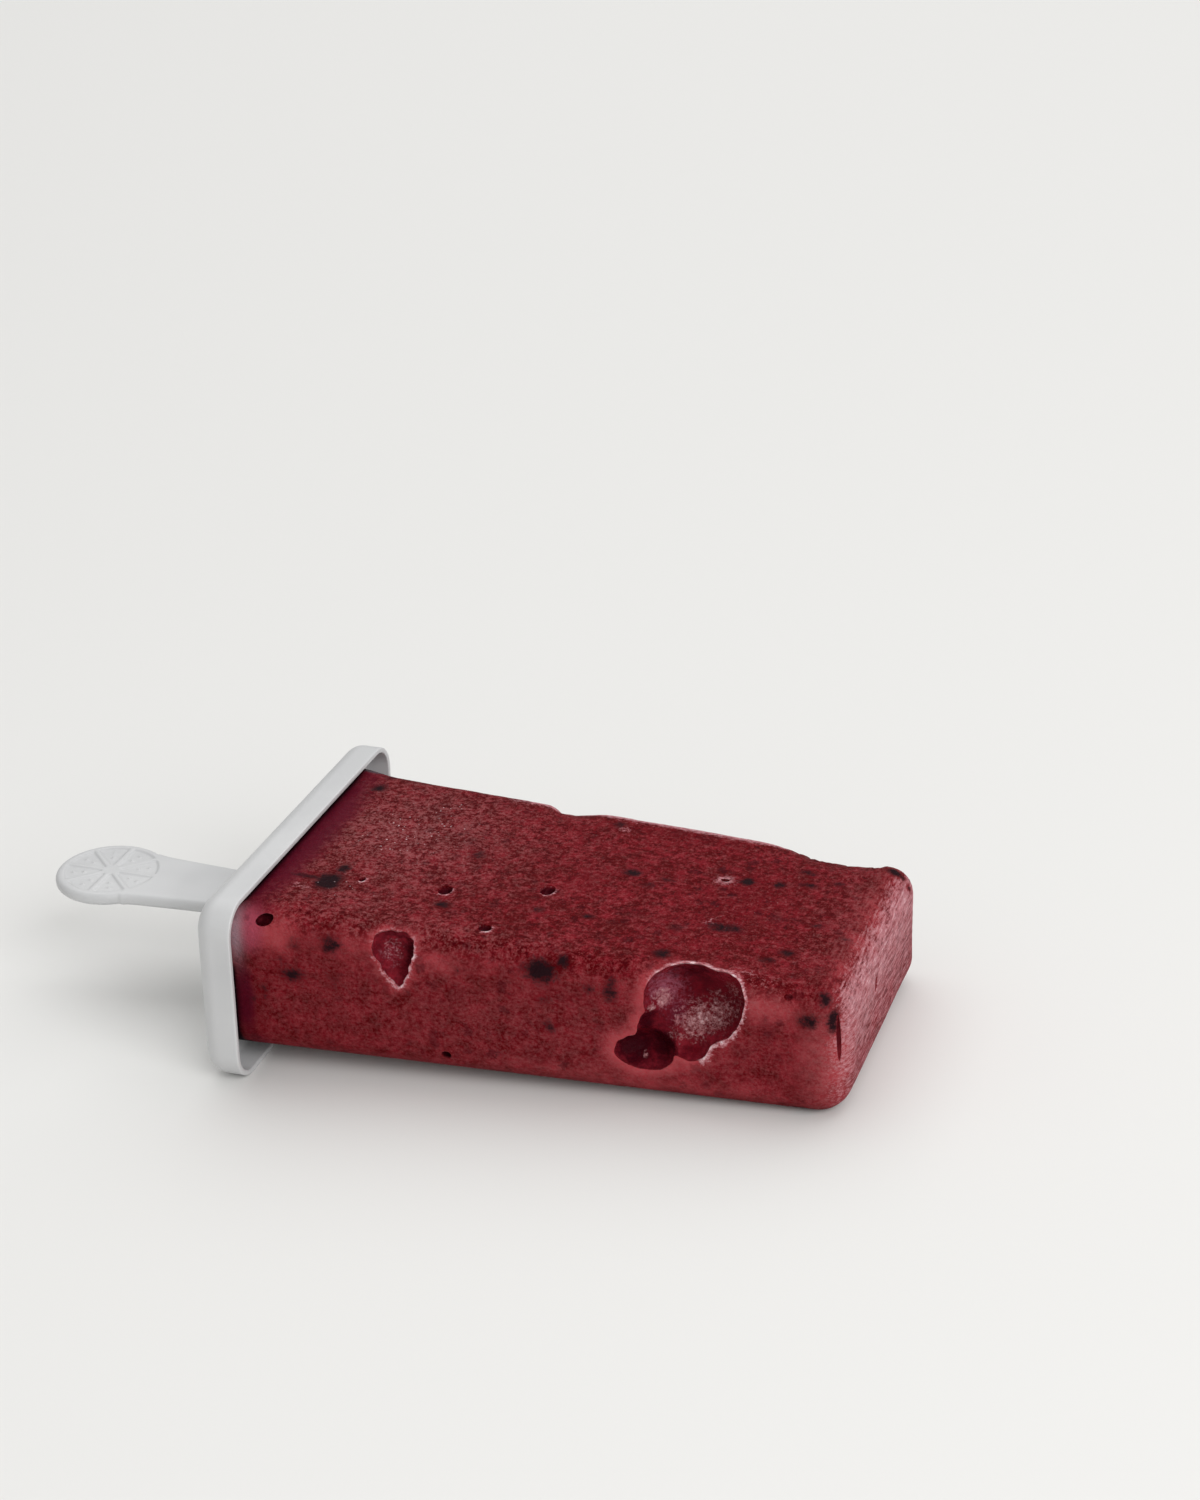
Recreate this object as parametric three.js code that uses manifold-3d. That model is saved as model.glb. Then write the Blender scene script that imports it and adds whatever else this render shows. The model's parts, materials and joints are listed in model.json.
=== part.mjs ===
// A home-made berry ice pop, lying on its broad side. It is three pieces: a tapered slab of frozen fruit
// with air pits, a shallow moulded lid that caps its wide end, and a moulded handle whose flared foot stands
// in the lid's slot.
//
// Units are millimetres. The pieces are drawn along X: the lid's rim is the plane x = 0, the tip points to
// +X and the handle to -X, and the broad faces look to +Z and -Z. At rest the pop lies on the lid's lower
// edge and on the lower edge of the thinner tip, so the whole leans by a few degrees. Its origin is under its
// middle, and the plane z = 0 is the surface that it lies on.

import * as THREE from 'three';
import { mergeVertices } from 'three/addons/utils/BufferGeometryUtils.js';
import Module from 'manifold-3d';

// Driving dimensions.
const ICE = {
  length: 101.4, // from the lid's rim to the tip
  widthAtLid: 57.7,
  widthAtTip: 50.9,
  thicknessAtLid: 26.9,
  thicknessAtTip: 22.1,
  edgeRadius: 4.8, // of the four long edges
  tipRadius: 5.4, // round the tip face
  topRadius: 1.5, // round the end inside the lid
};
const LID = {
  width: 70.2,
  thickness: 32.9,
  depth: 6.8,
  wall: 0.95,
  plate: 1.8, // from the cavity to the outer face
  cornerRadius: 5.6,
  edgeRadius: 3.5, // from the side walls to the outer face
  cavityRadius: 1.2,
  shift: { y: 1.1, z: -0.95 }, // of its middle from the ice's, which froze a little off centre
};
// The outer face has a sunk panel, and the slot goes through its middle.
const PANEL = { width: 55.6, thickness: 22.6, depth: 0.7, slope: 0.8, cornerRadius: 2.5 };
const SLOT = { width: 23.6, thickness: 7.8 };
const HANDLE = {
  thickness: 2.3,
  edgeRadius: 1.0,
  widthAtFoot: 12.9,
  widthAtNeck: 16.0,
  headRadius: 9.9,
  headCentre: 39.55, // from the lid's rim
  footWidth: 22.4,
  footThickness: 5.8,
  footRise: 0.2, // of the full foot above the sunk panel
  flareHeight: 4.6, // of the curve from the foot to the neck
  neckFillet: 0.45,
  filletReach: 1.2,
  shift: { y: 0.5, z: -0.65 }, // of its middle, and the slot's, from the ice's
};
// The head carries a fruit-slice relief: sunk segments, with raised seeds at their places from the hub.
const WHEEL = { radius: 8.3, hub: 1.7, spoke: 0.9, depth: 0.3, segments: 8 };
const SEED = { radius: 0.36, taper: 0.6, root: 0.2, places: [4.8, 6.7] };
const GAP = 0.3; // between pieces that touch

// The faces swell and sink in two low waves, each a product of two sines with their own runs per millimetre.
const SWELLS = [
  { height: 0.11, run: [0.19, 0.13, 0], start: 0.6, crossRun: [0, 0.15, -0.21], crossStart: 1.1 },
  { height: 0.07, run: [0.47, 0, -0.31], start: 0, crossRun: [0, 0.39, 0], crossStart: 2.0 },
];

// The far upper edge has chipped and melted back in places: where along it, how far towards the lid and
// towards the tip, and how deep.
const EDGE_LOSSES = [
  { x: 38.6, before: 2.6, after: 5.0, depth: 1.3 },
  { x: 88.5, before: 9.5, after: 7.2, depth: 2.0 },
];
const LOSS_REACH = 5.5; // how far a loss spreads from the edge over either face
const LOSS_STEEPNESS = 3; // of a loss's two ends along the edge
const SIDEWAYS_LOSS = 0.6; // what a loss takes off the side, as a share of what it takes off the top

// Air pits: uneven bubbles that broke through the surface. Each has a middle, half axes along X, Y and Z,
// and a lean about Y in radians.
const PITS = [
  { at: [76.3, -25.0, 6.4], half: [8.2, 6.2, 6.6], lean: 0.1 }, // the lobes of the largest pit
  { at: [80.1, -24.8, 7.5], half: [4.9, 4.6, 5.0], lean: 0 },
  { at: [72.6, -25.0, 6.9], half: [4.7, 4.8, 4.9], lean: 0 },
  { at: [77.4, -25.6, 2.9], half: [4.3, 3.6, 3.4], lean: 0 },
  { at: [70.6, -25.8, 1.0], half: [3.6, 3.4, 4.6], lean: 0 },
  { at: [68.2, -25.5, -2.9], half: [5.1, 3.9, 3.3], lean: 0 },
  { at: [75.9, -25.9, -0.1], half: [3.3, 2.8, 3.1], lean: 0 },
  { at: [25.3, -27.3, 9.7], half: [3.0, 2.6, 3.3], lean: 0 }, // the lobes of the shield-shaped pit
  { at: [27.0, -27.3, 9.6], half: [2.9, 2.6, 3.5], lean: 0 },
  { at: [26.5, -27.4, 7.0], half: [2.6, 2.3, 2.9], lean: 0 },
  { at: [26.9, -27.5, 4.6], half: [1.2, 1.4, 1.7], lean: 0 },
  { at: [58.0, 27.4, -1.5], half: [5.6, 3.4, 3.9], lean: 0.4 }, // one each on the far side and the underside
  { at: [46.0, 9.0, -12.6], half: [4.6, 3.6, 2.6], lean: 0 },
];
const SMALL_PITS = [
  { at: [3.4, -27.0, 11.4], half: [1.8, 1.5, 1.0], lean: -0.35 },
  { at: [14.6, -12.2, 12.9], half: [0.6, 0.9, 0.8], lean: 0 },
  { at: [29.1, -11.2, 12.4], half: [1.2, 1.7, 1.2], lean: 0 },
  { at: [45.2, -5.7, 12.1], half: [1.3, 1.8, 1.3], lean: 0 },
  { at: [39.8, -21.2, 12.1], half: [1.2, 1.2, 1.1], lean: 0 },
  { at: [34.7, -27.2, -8.6], half: [0.9, 1.2, 0.8], lean: 0 },
  { at: [91.5, -24.5, 10.0], half: [0.8, 0.9, 0.6], lean: 0 },
  { at: [99.7, -23.9, 3.4], half: [0.55, 0.55, 4.6], lean: -0.067 }, // two cracks in the tip
  { at: [101.4, -5.6, 3.8], half: [0.6, 0.8, 1.7], lean: 0 },
  { at: [18.5, 28.4, 3.0], half: [2.0, 1.8, 1.7], lean: 0 }, // on the far side and the underside
  { at: [33.0, 27.9, -5.0], half: [1.2, 1.2, 1.2], lean: 0 },
  { at: [82.0, 26.2, 4.0], half: [1.0, 1.0, 1.0], lean: 0 },
  { at: [70.0, -9.0, -11.9], half: [1.3, 1.3, 1.3], lean: 0 },
];
const LUMPS = { height: 0.06, runX: 4.1, runZ: 3.7 }; // uneven bubble walls, as shares of a bubble's size

const ACROSS_AXIS = new THREE.Vector3(0, 1, 0);
const FULLY_ROUND = 0.985; // of half a thickness, for ends that are round but keep a sliver of flat
const SAME_POINT = 1e-4; // points closer than this are merged

const wasm = await Module();
wasm.setup();

// Solids

function toSolid(geometry) {
  const bare = geometry.clone();
  bare.deleteAttribute('normal');
  bare.deleteAttribute('uv');
  const merged = mergeVertices(bare, SAME_POINT);
  return new wasm.Manifold(new wasm.Mesh({
    numProp: 3,
    vertProperties: new Float32Array(merged.attributes.position.array),
    triVerts: new Uint32Array(merged.index.array),
  }));
}

function toGeometry(solid) {
  const mesh = solid.getMesh();
  const geometry = new THREE.BufferGeometry();
  geometry.setAttribute('position', new THREE.BufferAttribute(mesh.vertProperties, 3));
  geometry.setIndex(new THREE.BufferAttribute(mesh.triVerts, 1));
  return geometry;
}

const cutAll = (solid, cutters) => cutters.reduce((rest, cutter) => rest.subtract(toSolid(cutter)), solid);
const joinAll = (solid, pieces) => pieces.reduce((sum, piece) => sum.add(toSolid(piece)), solid);

// One closed section in the plane x: a rounded rectangle with a fixed count of points, in which every
// straight side carries a few points too.
function roundedRing(x, width, thickness, radius, steps) {
  const cornerY = width / 2 - radius;
  const cornerZ = thickness / 2 - radius;
  const arcs = [[1, 1], [-1, 1], [-1, -1], [1, -1]].map(([sideY, sideZ], quarter) => {
    const arc = [];
    for (let step = 0; step <= steps.corner; step += 1) {
      const angle = (Math.PI / 2) * (quarter + step / steps.corner);
      const y = sideY * cornerY + radius * Math.cos(angle);
      const z = sideZ * cornerZ + radius * Math.sin(angle);
      arc.push(new THREE.Vector3(x, y, z));
    }
    return arc;
  });
  return arcs.flatMap((arc, quarter) => {
    const from = arc[steps.corner];
    const to = arcs[(quarter + 1) % 4][0];
    const count = quarter % 2 === 0 ? steps.long : steps.short;
    const side = [];
    for (let step = 1; step < count; step += 1) side.push(from.clone().lerp(to, step / count));
    return [...arc, ...side];
  });
}

// A closed solid through a row of rings, with a fan of triangles on each end.
function loft(rings) {
  const count = rings[0].length;
  const points = rings.flat();
  const faces = [];
  for (let start = 0; start < (rings.length - 1) * count; start += count) {
    for (let i = 0; i < count; i += 1) {
      const a = start + i;
      const b = start + ((i + 1) % count);
      faces.push(a, b, a + count, b, b + count, a + count);
    }
  }
  [0, rings.length - 1].forEach((end) => {
    const middle = new THREE.Vector3();
    rings[end].forEach((point) => middle.add(point));
    const hub = points.push(middle.divideScalar(count)) - 1;
    for (let i = 0; i < count; i += 1) {
      const a = end * count + i;
      const b = end * count + ((i + 1) % count);
      faces.push(...(end === 0 ? [hub, b, a] : [hub, a, b]));
    }
  });
  const runsBackwards = rings[0][0].x > rings[rings.length - 1][0].x;
  const geometry = new THREE.BufferGeometry().setFromPoints(points);
  geometry.setIndex(runsBackwards ? faces.reverse() : faces);
  return geometry;
}

// Where a quarter-round edge passes: how far it has run along X, and how far it has drawn in, both from 0 to
// its radius.
function quarterRound(radius, steps) {
  const places = [];
  for (let step = 0; step <= steps; step += 1) {
    const angle = (Math.PI / 2) * (step / steps);
    places.push({ along: radius * Math.sin(angle), inset: radius * (1 - Math.cos(angle)) });
  }
  return places;
}

// Ice

const ICE_STEPS = { corner: 5, long: 10, short: 4, body: 30, tip: 5, top: 3 };
const SHARPEST = 1; // the least radius that a ring's corners draw in to
const PIT_DETAIL = 3; // how finely the bubbles are faceted
const SMALL_PIT_DETAIL = 1;
const taper = (x, atLid, atTip) => THREE.MathUtils.mapLinear(x, 0, ICE.length, atLid, atTip);
const iceWidth = (x) => taper(x, ICE.widthAtLid, ICE.widthAtTip);
const iceThickness = (x) => taper(x, ICE.thicknessAtLid, ICE.thicknessAtTip);

// The underside has melted flat, so the swells fade out towards it.
function swell(point) {
  const wave = (run, start) => Math.sin(point.dot(new THREE.Vector3(...run)) + start);
  const total = SWELLS.reduce((sum, { height, run, start, crossRun, crossStart }) => (
    sum + height * wave(run, start) * wave(crossRun, crossStart)
  ), 0);
  return total * THREE.MathUtils.smoothstep(point.z, -ICE.thicknessAtTip / 2, 0);
}

function weather(point) {
  const width = iceWidth(point.x);
  const thickness = iceThickness(point.x);
  const outward = new THREE.Vector3(0, point.y / width, point.z / thickness).normalize();
  const fromEdge = Math.hypot(point.y - width / 2, point.z - thickness / 2) / LOSS_REACH;
  const amount = swell(point);
  EDGE_LOSSES.forEach(({ x, before, after, depth }) => {
    const along = Math.abs(point.x - x) / (point.x < x ? before : after);
    const loss = depth * Math.exp(-(along ** LOSS_STEEPNESS) - fromEdge * fromEdge);
    point.y -= SIDEWAYS_LOSS * loss;
    point.z -= loss;
  });
  return point.addScaledVector(outward, amount);
}

function iceRing(x, inset) {
  const radius = Math.max(ICE.edgeRadius - inset, SHARPEST);
  return roundedRing(x, iceWidth(x) - 2 * inset, iceThickness(x) - 2 * inset, radius, ICE_STEPS).map(weather);
}

function iceSlab() {
  const bodyStart = -(LID.depth - LID.plate - GAP) + ICE.topRadius;
  const bodyEnd = ICE.length - ICE.tipRadius;
  const rings = quarterRound(ICE.topRadius, ICE_STEPS.top)
    .reverse()
    .map(({ along, inset }) => iceRing(bodyStart - along, inset));
  for (let step = 1; step < ICE_STEPS.body; step += 1) {
    rings.push(iceRing(THREE.MathUtils.lerp(bodyStart, bodyEnd, step / ICE_STEPS.body), 0));
  }
  quarterRound(ICE.tipRadius, ICE_STEPS.tip)
    .forEach(({ along, inset }) => rings.push(iceRing(bodyEnd + along, inset)));
  return loft(rings);
}

function pitCutter({ at, half, lean }, detail) {
  const bubble = new THREE.IcosahedronGeometry(1, detail);
  const { position } = bubble.attributes;
  const point = new THREE.Vector3();
  for (let i = 0; i < position.count; i += 1) {
    point.fromBufferAttribute(position, i);
    const wave = Math.sin(LUMPS.runX * point.x + at[0]) * Math.sin(LUMPS.runZ * point.z + at[2]);
    point.multiplyScalar(1 + LUMPS.height * wave).multiply(new THREE.Vector3(...half));
    point.applyAxisAngle(ACROSS_AXIS, lean).add(new THREE.Vector3(...at));
    position.setXYZ(i, point.x, point.y, point.z);
  }
  return bubble;
}

const makeIce = () => cutAll(toSolid(iceSlab()), [
  ...PITS.map((pit) => pitCutter(pit, PIT_DETAIL)),
  ...SMALL_PITS.map((pit) => pitCutter(pit, SMALL_PIT_DETAIL)),
]);

// Lid

const LID_STEPS = { corner: 7, long: 2, short: 2, edge: 5, cavity: 3 };
const SLOT_STEPS = { corner: 8, long: 1, short: 1 };
const CUT_PAST = 1; // how far a cutter goes on past the face that it breaks through

const shifted = (geometry, { y, z }) => geometry.translate(0, y, z);

function lidRing(x, inset) {
  const radius = Math.max(LID.cornerRadius - inset, SHARPEST);
  return roundedRing(x, LID.width - 2 * inset, LID.thickness - 2 * inset, radius, LID_STEPS);
}

function lidBlock() {
  const wallEnd = -(LID.depth - LID.edgeRadius);
  const rounded = quarterRound(LID.edgeRadius, LID_STEPS.edge)
    .map(({ along, inset }) => lidRing(wallEnd - along, inset));
  return shifted(loft([lidRing(0, 0), ...rounded]), LID.shift);
}

function lidCavity() {
  const wallEnd = -(LID.depth - LID.plate - LID.cavityRadius);
  const rounded = quarterRound(LID.cavityRadius, LID_STEPS.cavity)
    .map(({ along, inset }) => lidRing(wallEnd - along, LID.wall + inset));
  return shifted(loft([lidRing(CUT_PAST, LID.wall), ...rounded]), LID.shift);
}

// The recess widens towards the outer face.
function panelRecess() {
  const { width, thickness, depth, slope, cornerRadius } = PANEL;
  const rings = [-depth, 0, CUT_PAST].map((outward) => {
    const x = -LID.depth - outward;
    const spread = slope * Math.max((outward + depth) / depth, 0);
    return roundedRing(x, width + 2 * spread, thickness + 2 * spread, cornerRadius + spread, LID_STEPS);
  });
  return shifted(loft(rings), LID.shift);
}

function slotCutter() {
  const from = -(LID.depth - LID.plate - CUT_PAST);
  const to = -(LID.depth + CUT_PAST);
  const radius = FULLY_ROUND * (SLOT.thickness / 2);
  const rings = [from, to].map((x) => roundedRing(x, SLOT.width, SLOT.thickness, radius, SLOT_STEPS));
  return shifted(loft(rings), HANDLE.shift);
}

const makeLid = () => cutAll(toSolid(lidBlock()), [lidCavity(), panelRecess(), slotCutter()]);

// Handle

const HANDLE_STEPS = { corner: 4, long: 2, short: 1, flare: 6, neck: 4, headEdge: 5, head: 56 };
const RELIEF_STEPS = { arc: 7, seed: 7 };
const FLARE_START = LID.depth - PANEL.depth + HANDLE.footRise; // all three are distances from the lid's rim
const FLARE_END = FLARE_START + HANDLE.flareHeight;
const NECK_END = HANDLE.headCentre - Math.sqrt(HANDLE.headRadius ** 2 - (HANDLE.widthAtNeck / 2) ** 2);
const ROUND_NECK_END = [-3, -1.6, -0.7, 0, 1.6]; // sections stand closer here, so that the fillets are smooth

// Its section at a distance from the lid's rim: a full foot in the slot, a curved flare above it, and a neck
// that widens towards the head.
function handleRing(distance) {
  const { widthAtFoot, widthAtNeck, footWidth, footThickness } = HANDLE;
  const drop = THREE.MathUtils.clamp((FLARE_END - distance) / HANDLE.flareHeight, 0, 1);
  const flare = 1 - Math.sqrt(1 - drop * drop);
  const fillet = HANDLE.neckFillet * Math.exp(-Math.abs(distance - NECK_END) / HANDLE.filletReach);
  const neck = THREE.MathUtils.mapLinear(distance, FLARE_END, NECK_END, widthAtFoot, widthAtNeck);
  const width = THREE.MathUtils.lerp(Math.max(neck, widthAtFoot) + 2 * fillet, footWidth, flare);
  const thickness = THREE.MathUtils.lerp(HANDLE.thickness, footThickness, flare);
  const radius = THREE.MathUtils.lerp(HANDLE.edgeRadius, FULLY_ROUND * (footThickness / 2), flare);
  return roundedRing(-distance, width, thickness, radius, HANDLE_STEPS);
}

function handleBar() {
  const footBottom = LID.depth - LID.plate;
  const distances = [footBottom];
  for (let step = 0; step <= HANDLE_STEPS.flare; step += 1) {
    const angle = (Math.PI / 2) * (step / HANDLE_STEPS.flare);
    distances.push(FLARE_START + HANDLE.flareHeight * (1 - Math.cos(angle)));
  }
  for (let step = 1; step < HANDLE_STEPS.neck; step += 1) {
    distances.push(THREE.MathUtils.lerp(FLARE_END, NECK_END, step / HANDLE_STEPS.neck));
  }
  ROUND_NECK_END.forEach((past) => distances.push(NECK_END + past));
  return loft(distances.map(handleRing));
}

function handleHead() {
  const half = HANDLE.thickness / 2;
  const profile = [new THREE.Vector2(0, -half)];
  [-1, 1].forEach((side) => {
    for (let step = 0; step <= HANDLE_STEPS.headEdge; step += 1) {
      const turn = side < 0 ? HANDLE_STEPS.headEdge - step : step;
      const angle = (Math.PI / 2) * (turn / HANDLE_STEPS.headEdge);
      const radius = HANDLE.headRadius - HANDLE.edgeRadius * (1 - Math.cos(angle));
      profile.push(new THREE.Vector2(radius, side * (half - HANDLE.edgeRadius * (1 - Math.sin(angle)))));
    }
  });
  profile.push(new THREE.Vector2(0, half));
  const disc = new THREE.LatheGeometry(profile, HANDLE_STEPS.head);
  return disc.rotateX(Math.PI / 2).translate(-HANDLE.headCentre, 0, 0);
}

// The relief is sunk segments between standing spokes, with two seeds in each, alike on both faces.
function wheelSegment(index, side) {
  const step = (2 * Math.PI) / WHEEL.segments;
  const [from, to] = [index * step, (index + 1) * step];
  const outerGap = Math.asin(WHEEL.spoke / 2 / WHEEL.radius);
  const hubGap = Math.asin(WHEEL.spoke / 2 / WHEEL.hub);
  const shape = new THREE.Shape();
  shape.absarc(0, 0, WHEEL.radius, from + outerGap, to - outerGap, false);
  shape.absarc(0, 0, WHEEL.hub, to - hubGap, from + hubGap, true);
  const height = 2 * WHEEL.depth;
  const settings = { depth: height, bevelEnabled: false, curveSegments: RELIEF_STEPS.arc };
  const segment = new THREE.ExtrudeGeometry(shape, settings).translate(0, 0, -height / 2);
  return segment.translate(-HANDLE.headCentre, 0, side * (HANDLE.thickness / 2));
}

function seed(index, place, side) {
  const angle = (index + 0.5) * ((2 * Math.PI) / WHEEL.segments);
  const height = WHEEL.depth + SEED.root;
  const tip = SEED.taper * SEED.radius;
  const bump = new THREE.CylinderGeometry(tip, SEED.radius, height, RELIEF_STEPS.seed);
  bump.rotateX((side * Math.PI) / 2).translate(0, 0, side * (HANDLE.thickness / 2 - height / 2));
  return bump.translate(-HANDLE.headCentre + place * Math.cos(angle), place * Math.sin(angle), 0);
}

function makeHandle() {
  const segments = [];
  const seeds = [];
  [-1, 1].forEach((side) => {
    for (let index = 0; index < WHEEL.segments; index += 1) {
      segments.push(wheelSegment(index, side));
      SEED.places.forEach((place) => seeds.push(seed(index, place, side)));
    }
  });
  const blank = joinAll(toSolid(handleBar()), [handleHead()]);
  return joinAll(cutAll(blank, segments), seeds).translate([0, HANDLE.shift.y, HANDLE.shift.z]);
}

// Assembly

const FRUIT_ICE = new THREE.MeshStandardMaterial({ color: 0x7b2635, roughness: 0.45, metalness: 0 });
const GREY_PLASTIC = new THREE.MeshStandardMaterial({ color: 0xc8c9cb, roughness: 0.5, metalness: 0 });

function piece(name, solid, material) {
  const mesh = new THREE.Mesh(toGeometry(solid), material);
  mesh.name = name;
  return mesh;
}

// The slope of the line that touches the lid's lower edge and the ice's underside, which is the surface that
// the pop lies on.
function restingSlope(ice) {
  const { position } = ice.geometry.attributes;
  const lidBottom = LID.shift.z - LID.thickness / 2;
  let slope = Infinity;
  for (let i = 0; i < position.count; i += 1) {
    const x = position.getX(i);
    if (x > ICE.length / 2) slope = Math.min(slope, Math.atan2(position.getZ(i) - lidBottom, x));
  }
  return slope;
}

const ice = piece('ice', makeIce(), FRUIT_ICE);
const pop = new THREE.Group();
pop.add(ice, piece('lid', makeLid(), GREY_PLASTIC), piece('handle', makeHandle(), GREY_PLASTIC));
pop.rotation.y = restingSlope(ice);

const box = new THREE.Box3().setFromObject(pop, true);
const middle = box.getCenter(new THREE.Vector3());
pop.position.set(-middle.x, -middle.y, -box.min.z);

const model = new THREE.Group();
model.add(pop);

export default model;
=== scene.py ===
# A home-made berry ice pop, lying on its broad side: a tapered slab of frozen fruit with air pits, a grey
# moulded lid that caps its wide end, and a moulded handle whose flared foot stands in the lid's slot.

import json
import math
import random

import bmesh
import bpy
import numpy as np
from mathutils import Euler, Matrix, Vector, kdtree, noise
from mathutils.bvhtree import BVHTree

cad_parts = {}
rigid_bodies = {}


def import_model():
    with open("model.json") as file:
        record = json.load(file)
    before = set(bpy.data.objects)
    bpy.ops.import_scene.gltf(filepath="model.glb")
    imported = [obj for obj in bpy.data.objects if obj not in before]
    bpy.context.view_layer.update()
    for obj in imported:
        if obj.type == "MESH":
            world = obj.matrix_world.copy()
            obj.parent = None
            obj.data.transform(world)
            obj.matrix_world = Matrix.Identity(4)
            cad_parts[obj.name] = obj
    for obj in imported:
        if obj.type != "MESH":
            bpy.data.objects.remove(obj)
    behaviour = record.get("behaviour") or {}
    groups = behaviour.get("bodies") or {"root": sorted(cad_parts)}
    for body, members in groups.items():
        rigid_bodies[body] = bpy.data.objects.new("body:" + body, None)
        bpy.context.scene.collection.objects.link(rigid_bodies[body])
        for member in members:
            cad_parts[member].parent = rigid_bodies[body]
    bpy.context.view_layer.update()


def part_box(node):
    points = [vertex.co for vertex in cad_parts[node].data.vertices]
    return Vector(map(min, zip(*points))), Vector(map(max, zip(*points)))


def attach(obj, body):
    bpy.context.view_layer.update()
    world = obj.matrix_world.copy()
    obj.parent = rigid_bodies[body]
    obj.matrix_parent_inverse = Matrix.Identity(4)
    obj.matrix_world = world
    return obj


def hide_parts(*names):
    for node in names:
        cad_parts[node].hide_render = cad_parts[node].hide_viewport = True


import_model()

# The pop at rest
# It lies on the lid's lower edge and on the lower edge of the thinner tip, so that it leans a little towards
# the tip. Every piece is drawn in millimetres before that, along X: the lid's rim is the plane x = 0, the tip
# points to +X, the handle to -X, and the broad faces look to +Z and -Z.

MM = 0.001
LEAN = math.radians(3.7084)
LID_TOP, LID_BOTTOM = 15.5, -17.4
LID_ASIDE = 1.1

lid_low, lid_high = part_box("lid")
rim_middle = Vector((
    lid_high.x - LID_TOP * MM * math.sin(LEAN),
    (lid_low.y + lid_high.y) / 2 - LID_ASIDE * MM,
    -LID_BOTTOM * MM * math.cos(LEAN),
))
at_rest = Matrix.Translation(rim_middle) @ Matrix.Rotation(LEAN, 4, "Y") @ Matrix.Scale(MM, 4)


def lay_down(name, mesh, material):
    """Makes a drawn mesh the finished piece that stands for the solid of the same name."""
    mesh.transform(at_rest)
    mesh.materials.clear()
    mesh.materials.append(material)
    mesh.polygons.foreach_set("use_smooth", [True] * len(mesh.polygons))
    mesh.update()
    made = bpy.data.objects.new(name + "_finish", mesh)
    bpy.context.scene.collection.objects.link(made)
    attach(made, "root")
    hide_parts(name)
    return made


# Ice
# One slab of berry puree, frozen in a tapered mould with rounded edges. Air bubbles left pits in its faces,
# scraps of dark skin lie in it, its far upper edge has chipped, and frost covers it, thickest on the tip.

ICE_LENGTH = 101.4
ICE_START = -4.7
WIDTH_AT_LID, WIDTH_AT_TIP = 57.7, 50.9
THICKNESS_AT_LID, THICKNESS_AT_TIP = 26.9, 22.1
ICE_EDGE = 4.8
TIP_EDGE = 5.4
TOP_EDGE = 1.5
SHARPEST = 1.0
FACE_SIZE = 0.56
HAIRY_TIP = (91, 97)


def ice_width(x):
    return WIDTH_AT_LID + (WIDTH_AT_TIP - WIDTH_AT_LID) * x / ICE_LENGTH


def ice_thickness(x):
    return THICKNESS_AT_LID + (THICKNESS_AT_TIP - THICKNESS_AT_LID) * x / ICE_LENGTH


def ice_section(x, inset):
    radius = max(ICE_EDGE - inset, SHARPEST)
    return (x, ice_width(x) - 2 * inset, ice_thickness(x) - 2 * inset, radius)


def fit_ring(ring, x, width, thickness, radius, middle=(0, 0)):
    """Lays a ring of points round a rounded rectangle in the plane x."""
    steps = len(ring) // 4
    for index, point in enumerate(ring):
        quarter, step = divmod(index, steps)
        angle = math.pi / 2 * (quarter + step / (steps - 1))
        side_y = 1 if quarter in (0, 3) else -1
        side_z = 1 if quarter < 2 else -1
        point.co = (
            x,
            middle[0] + side_y * (width / 2 - radius) + radius * math.cos(angle),
            middle[1] + side_z * (thickness / 2 - radius) + radius * math.sin(angle),
        )


def edges_of(shape, ring):
    return [shape.edges.get((ring[i - 1], ring[i])) for i in range(len(ring))]


def lofted(sections, count):
    """A skin through a row of sections, made by extruding one ring of points, with its two end rings."""
    shape = bmesh.new()
    ring = first = bmesh.ops.create_circle(shape, cap_ends=False, segments=count, radius=1.0)["verts"]
    fit_ring(ring, *sections[0])
    for section in sections[1:]:
        made = bmesh.ops.extrude_edge_only(shape, edges=edges_of(shape, ring))
        fresh = {v for v in made["geom"] if isinstance(v, bmesh.types.BMVert)}
        ring = [next(e.other_vert(v) for e in v.link_edges if e.other_vert(v) in fresh) for v in ring]
        fit_ring(ring, *section)
    return shape, first, ring


def closed_loft(sections, count):
    shape, *ends = lofted(sections, count)
    for ring in ends:
        bmesh.ops.contextual_create(shape, geom=edges_of(shape, ring))
    bmesh.ops.recalc_face_normals(shape, faces=shape.faces)
    return shape


def rounding(radius, steps):
    """The steps of a quarter round: how far each has gone on, and how far it has drawn in."""
    for step in range(steps + 1):
        angle = math.pi / 2 * step / steps
        yield radius * math.sin(angle), radius * (1 - math.cos(angle))


def as_moulded():
    top = [ice_section(ICE_START + TOP_EDGE - on, drawn_in) for on, drawn_in in rounding(TOP_EDGE, steps=4)]
    tip = [ice_section(ICE_LENGTH - TIP_EDGE + on, drawn_in) for on, drawn_in in rounding(TIP_EDGE, steps=9)]
    return closed_loft(top[::-1] + tip, count=48)


def as_mesh(name, shape):
    mesh = bpy.data.meshes.new(name)
    shape.to_mesh(mesh)
    shape.free()
    return mesh


def as_object(name, shape, collection):
    made = bpy.data.objects.new(name, as_mesh(name, shape))
    collection.objects.link(made)
    return made


def even_out(piece, face_size):
    """Gives a piece one even skin of small faces."""
    even = piece.modifiers.new("even", "REMESH")
    even.mode = "VOXEL"
    even.voxel_size = face_size


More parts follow.
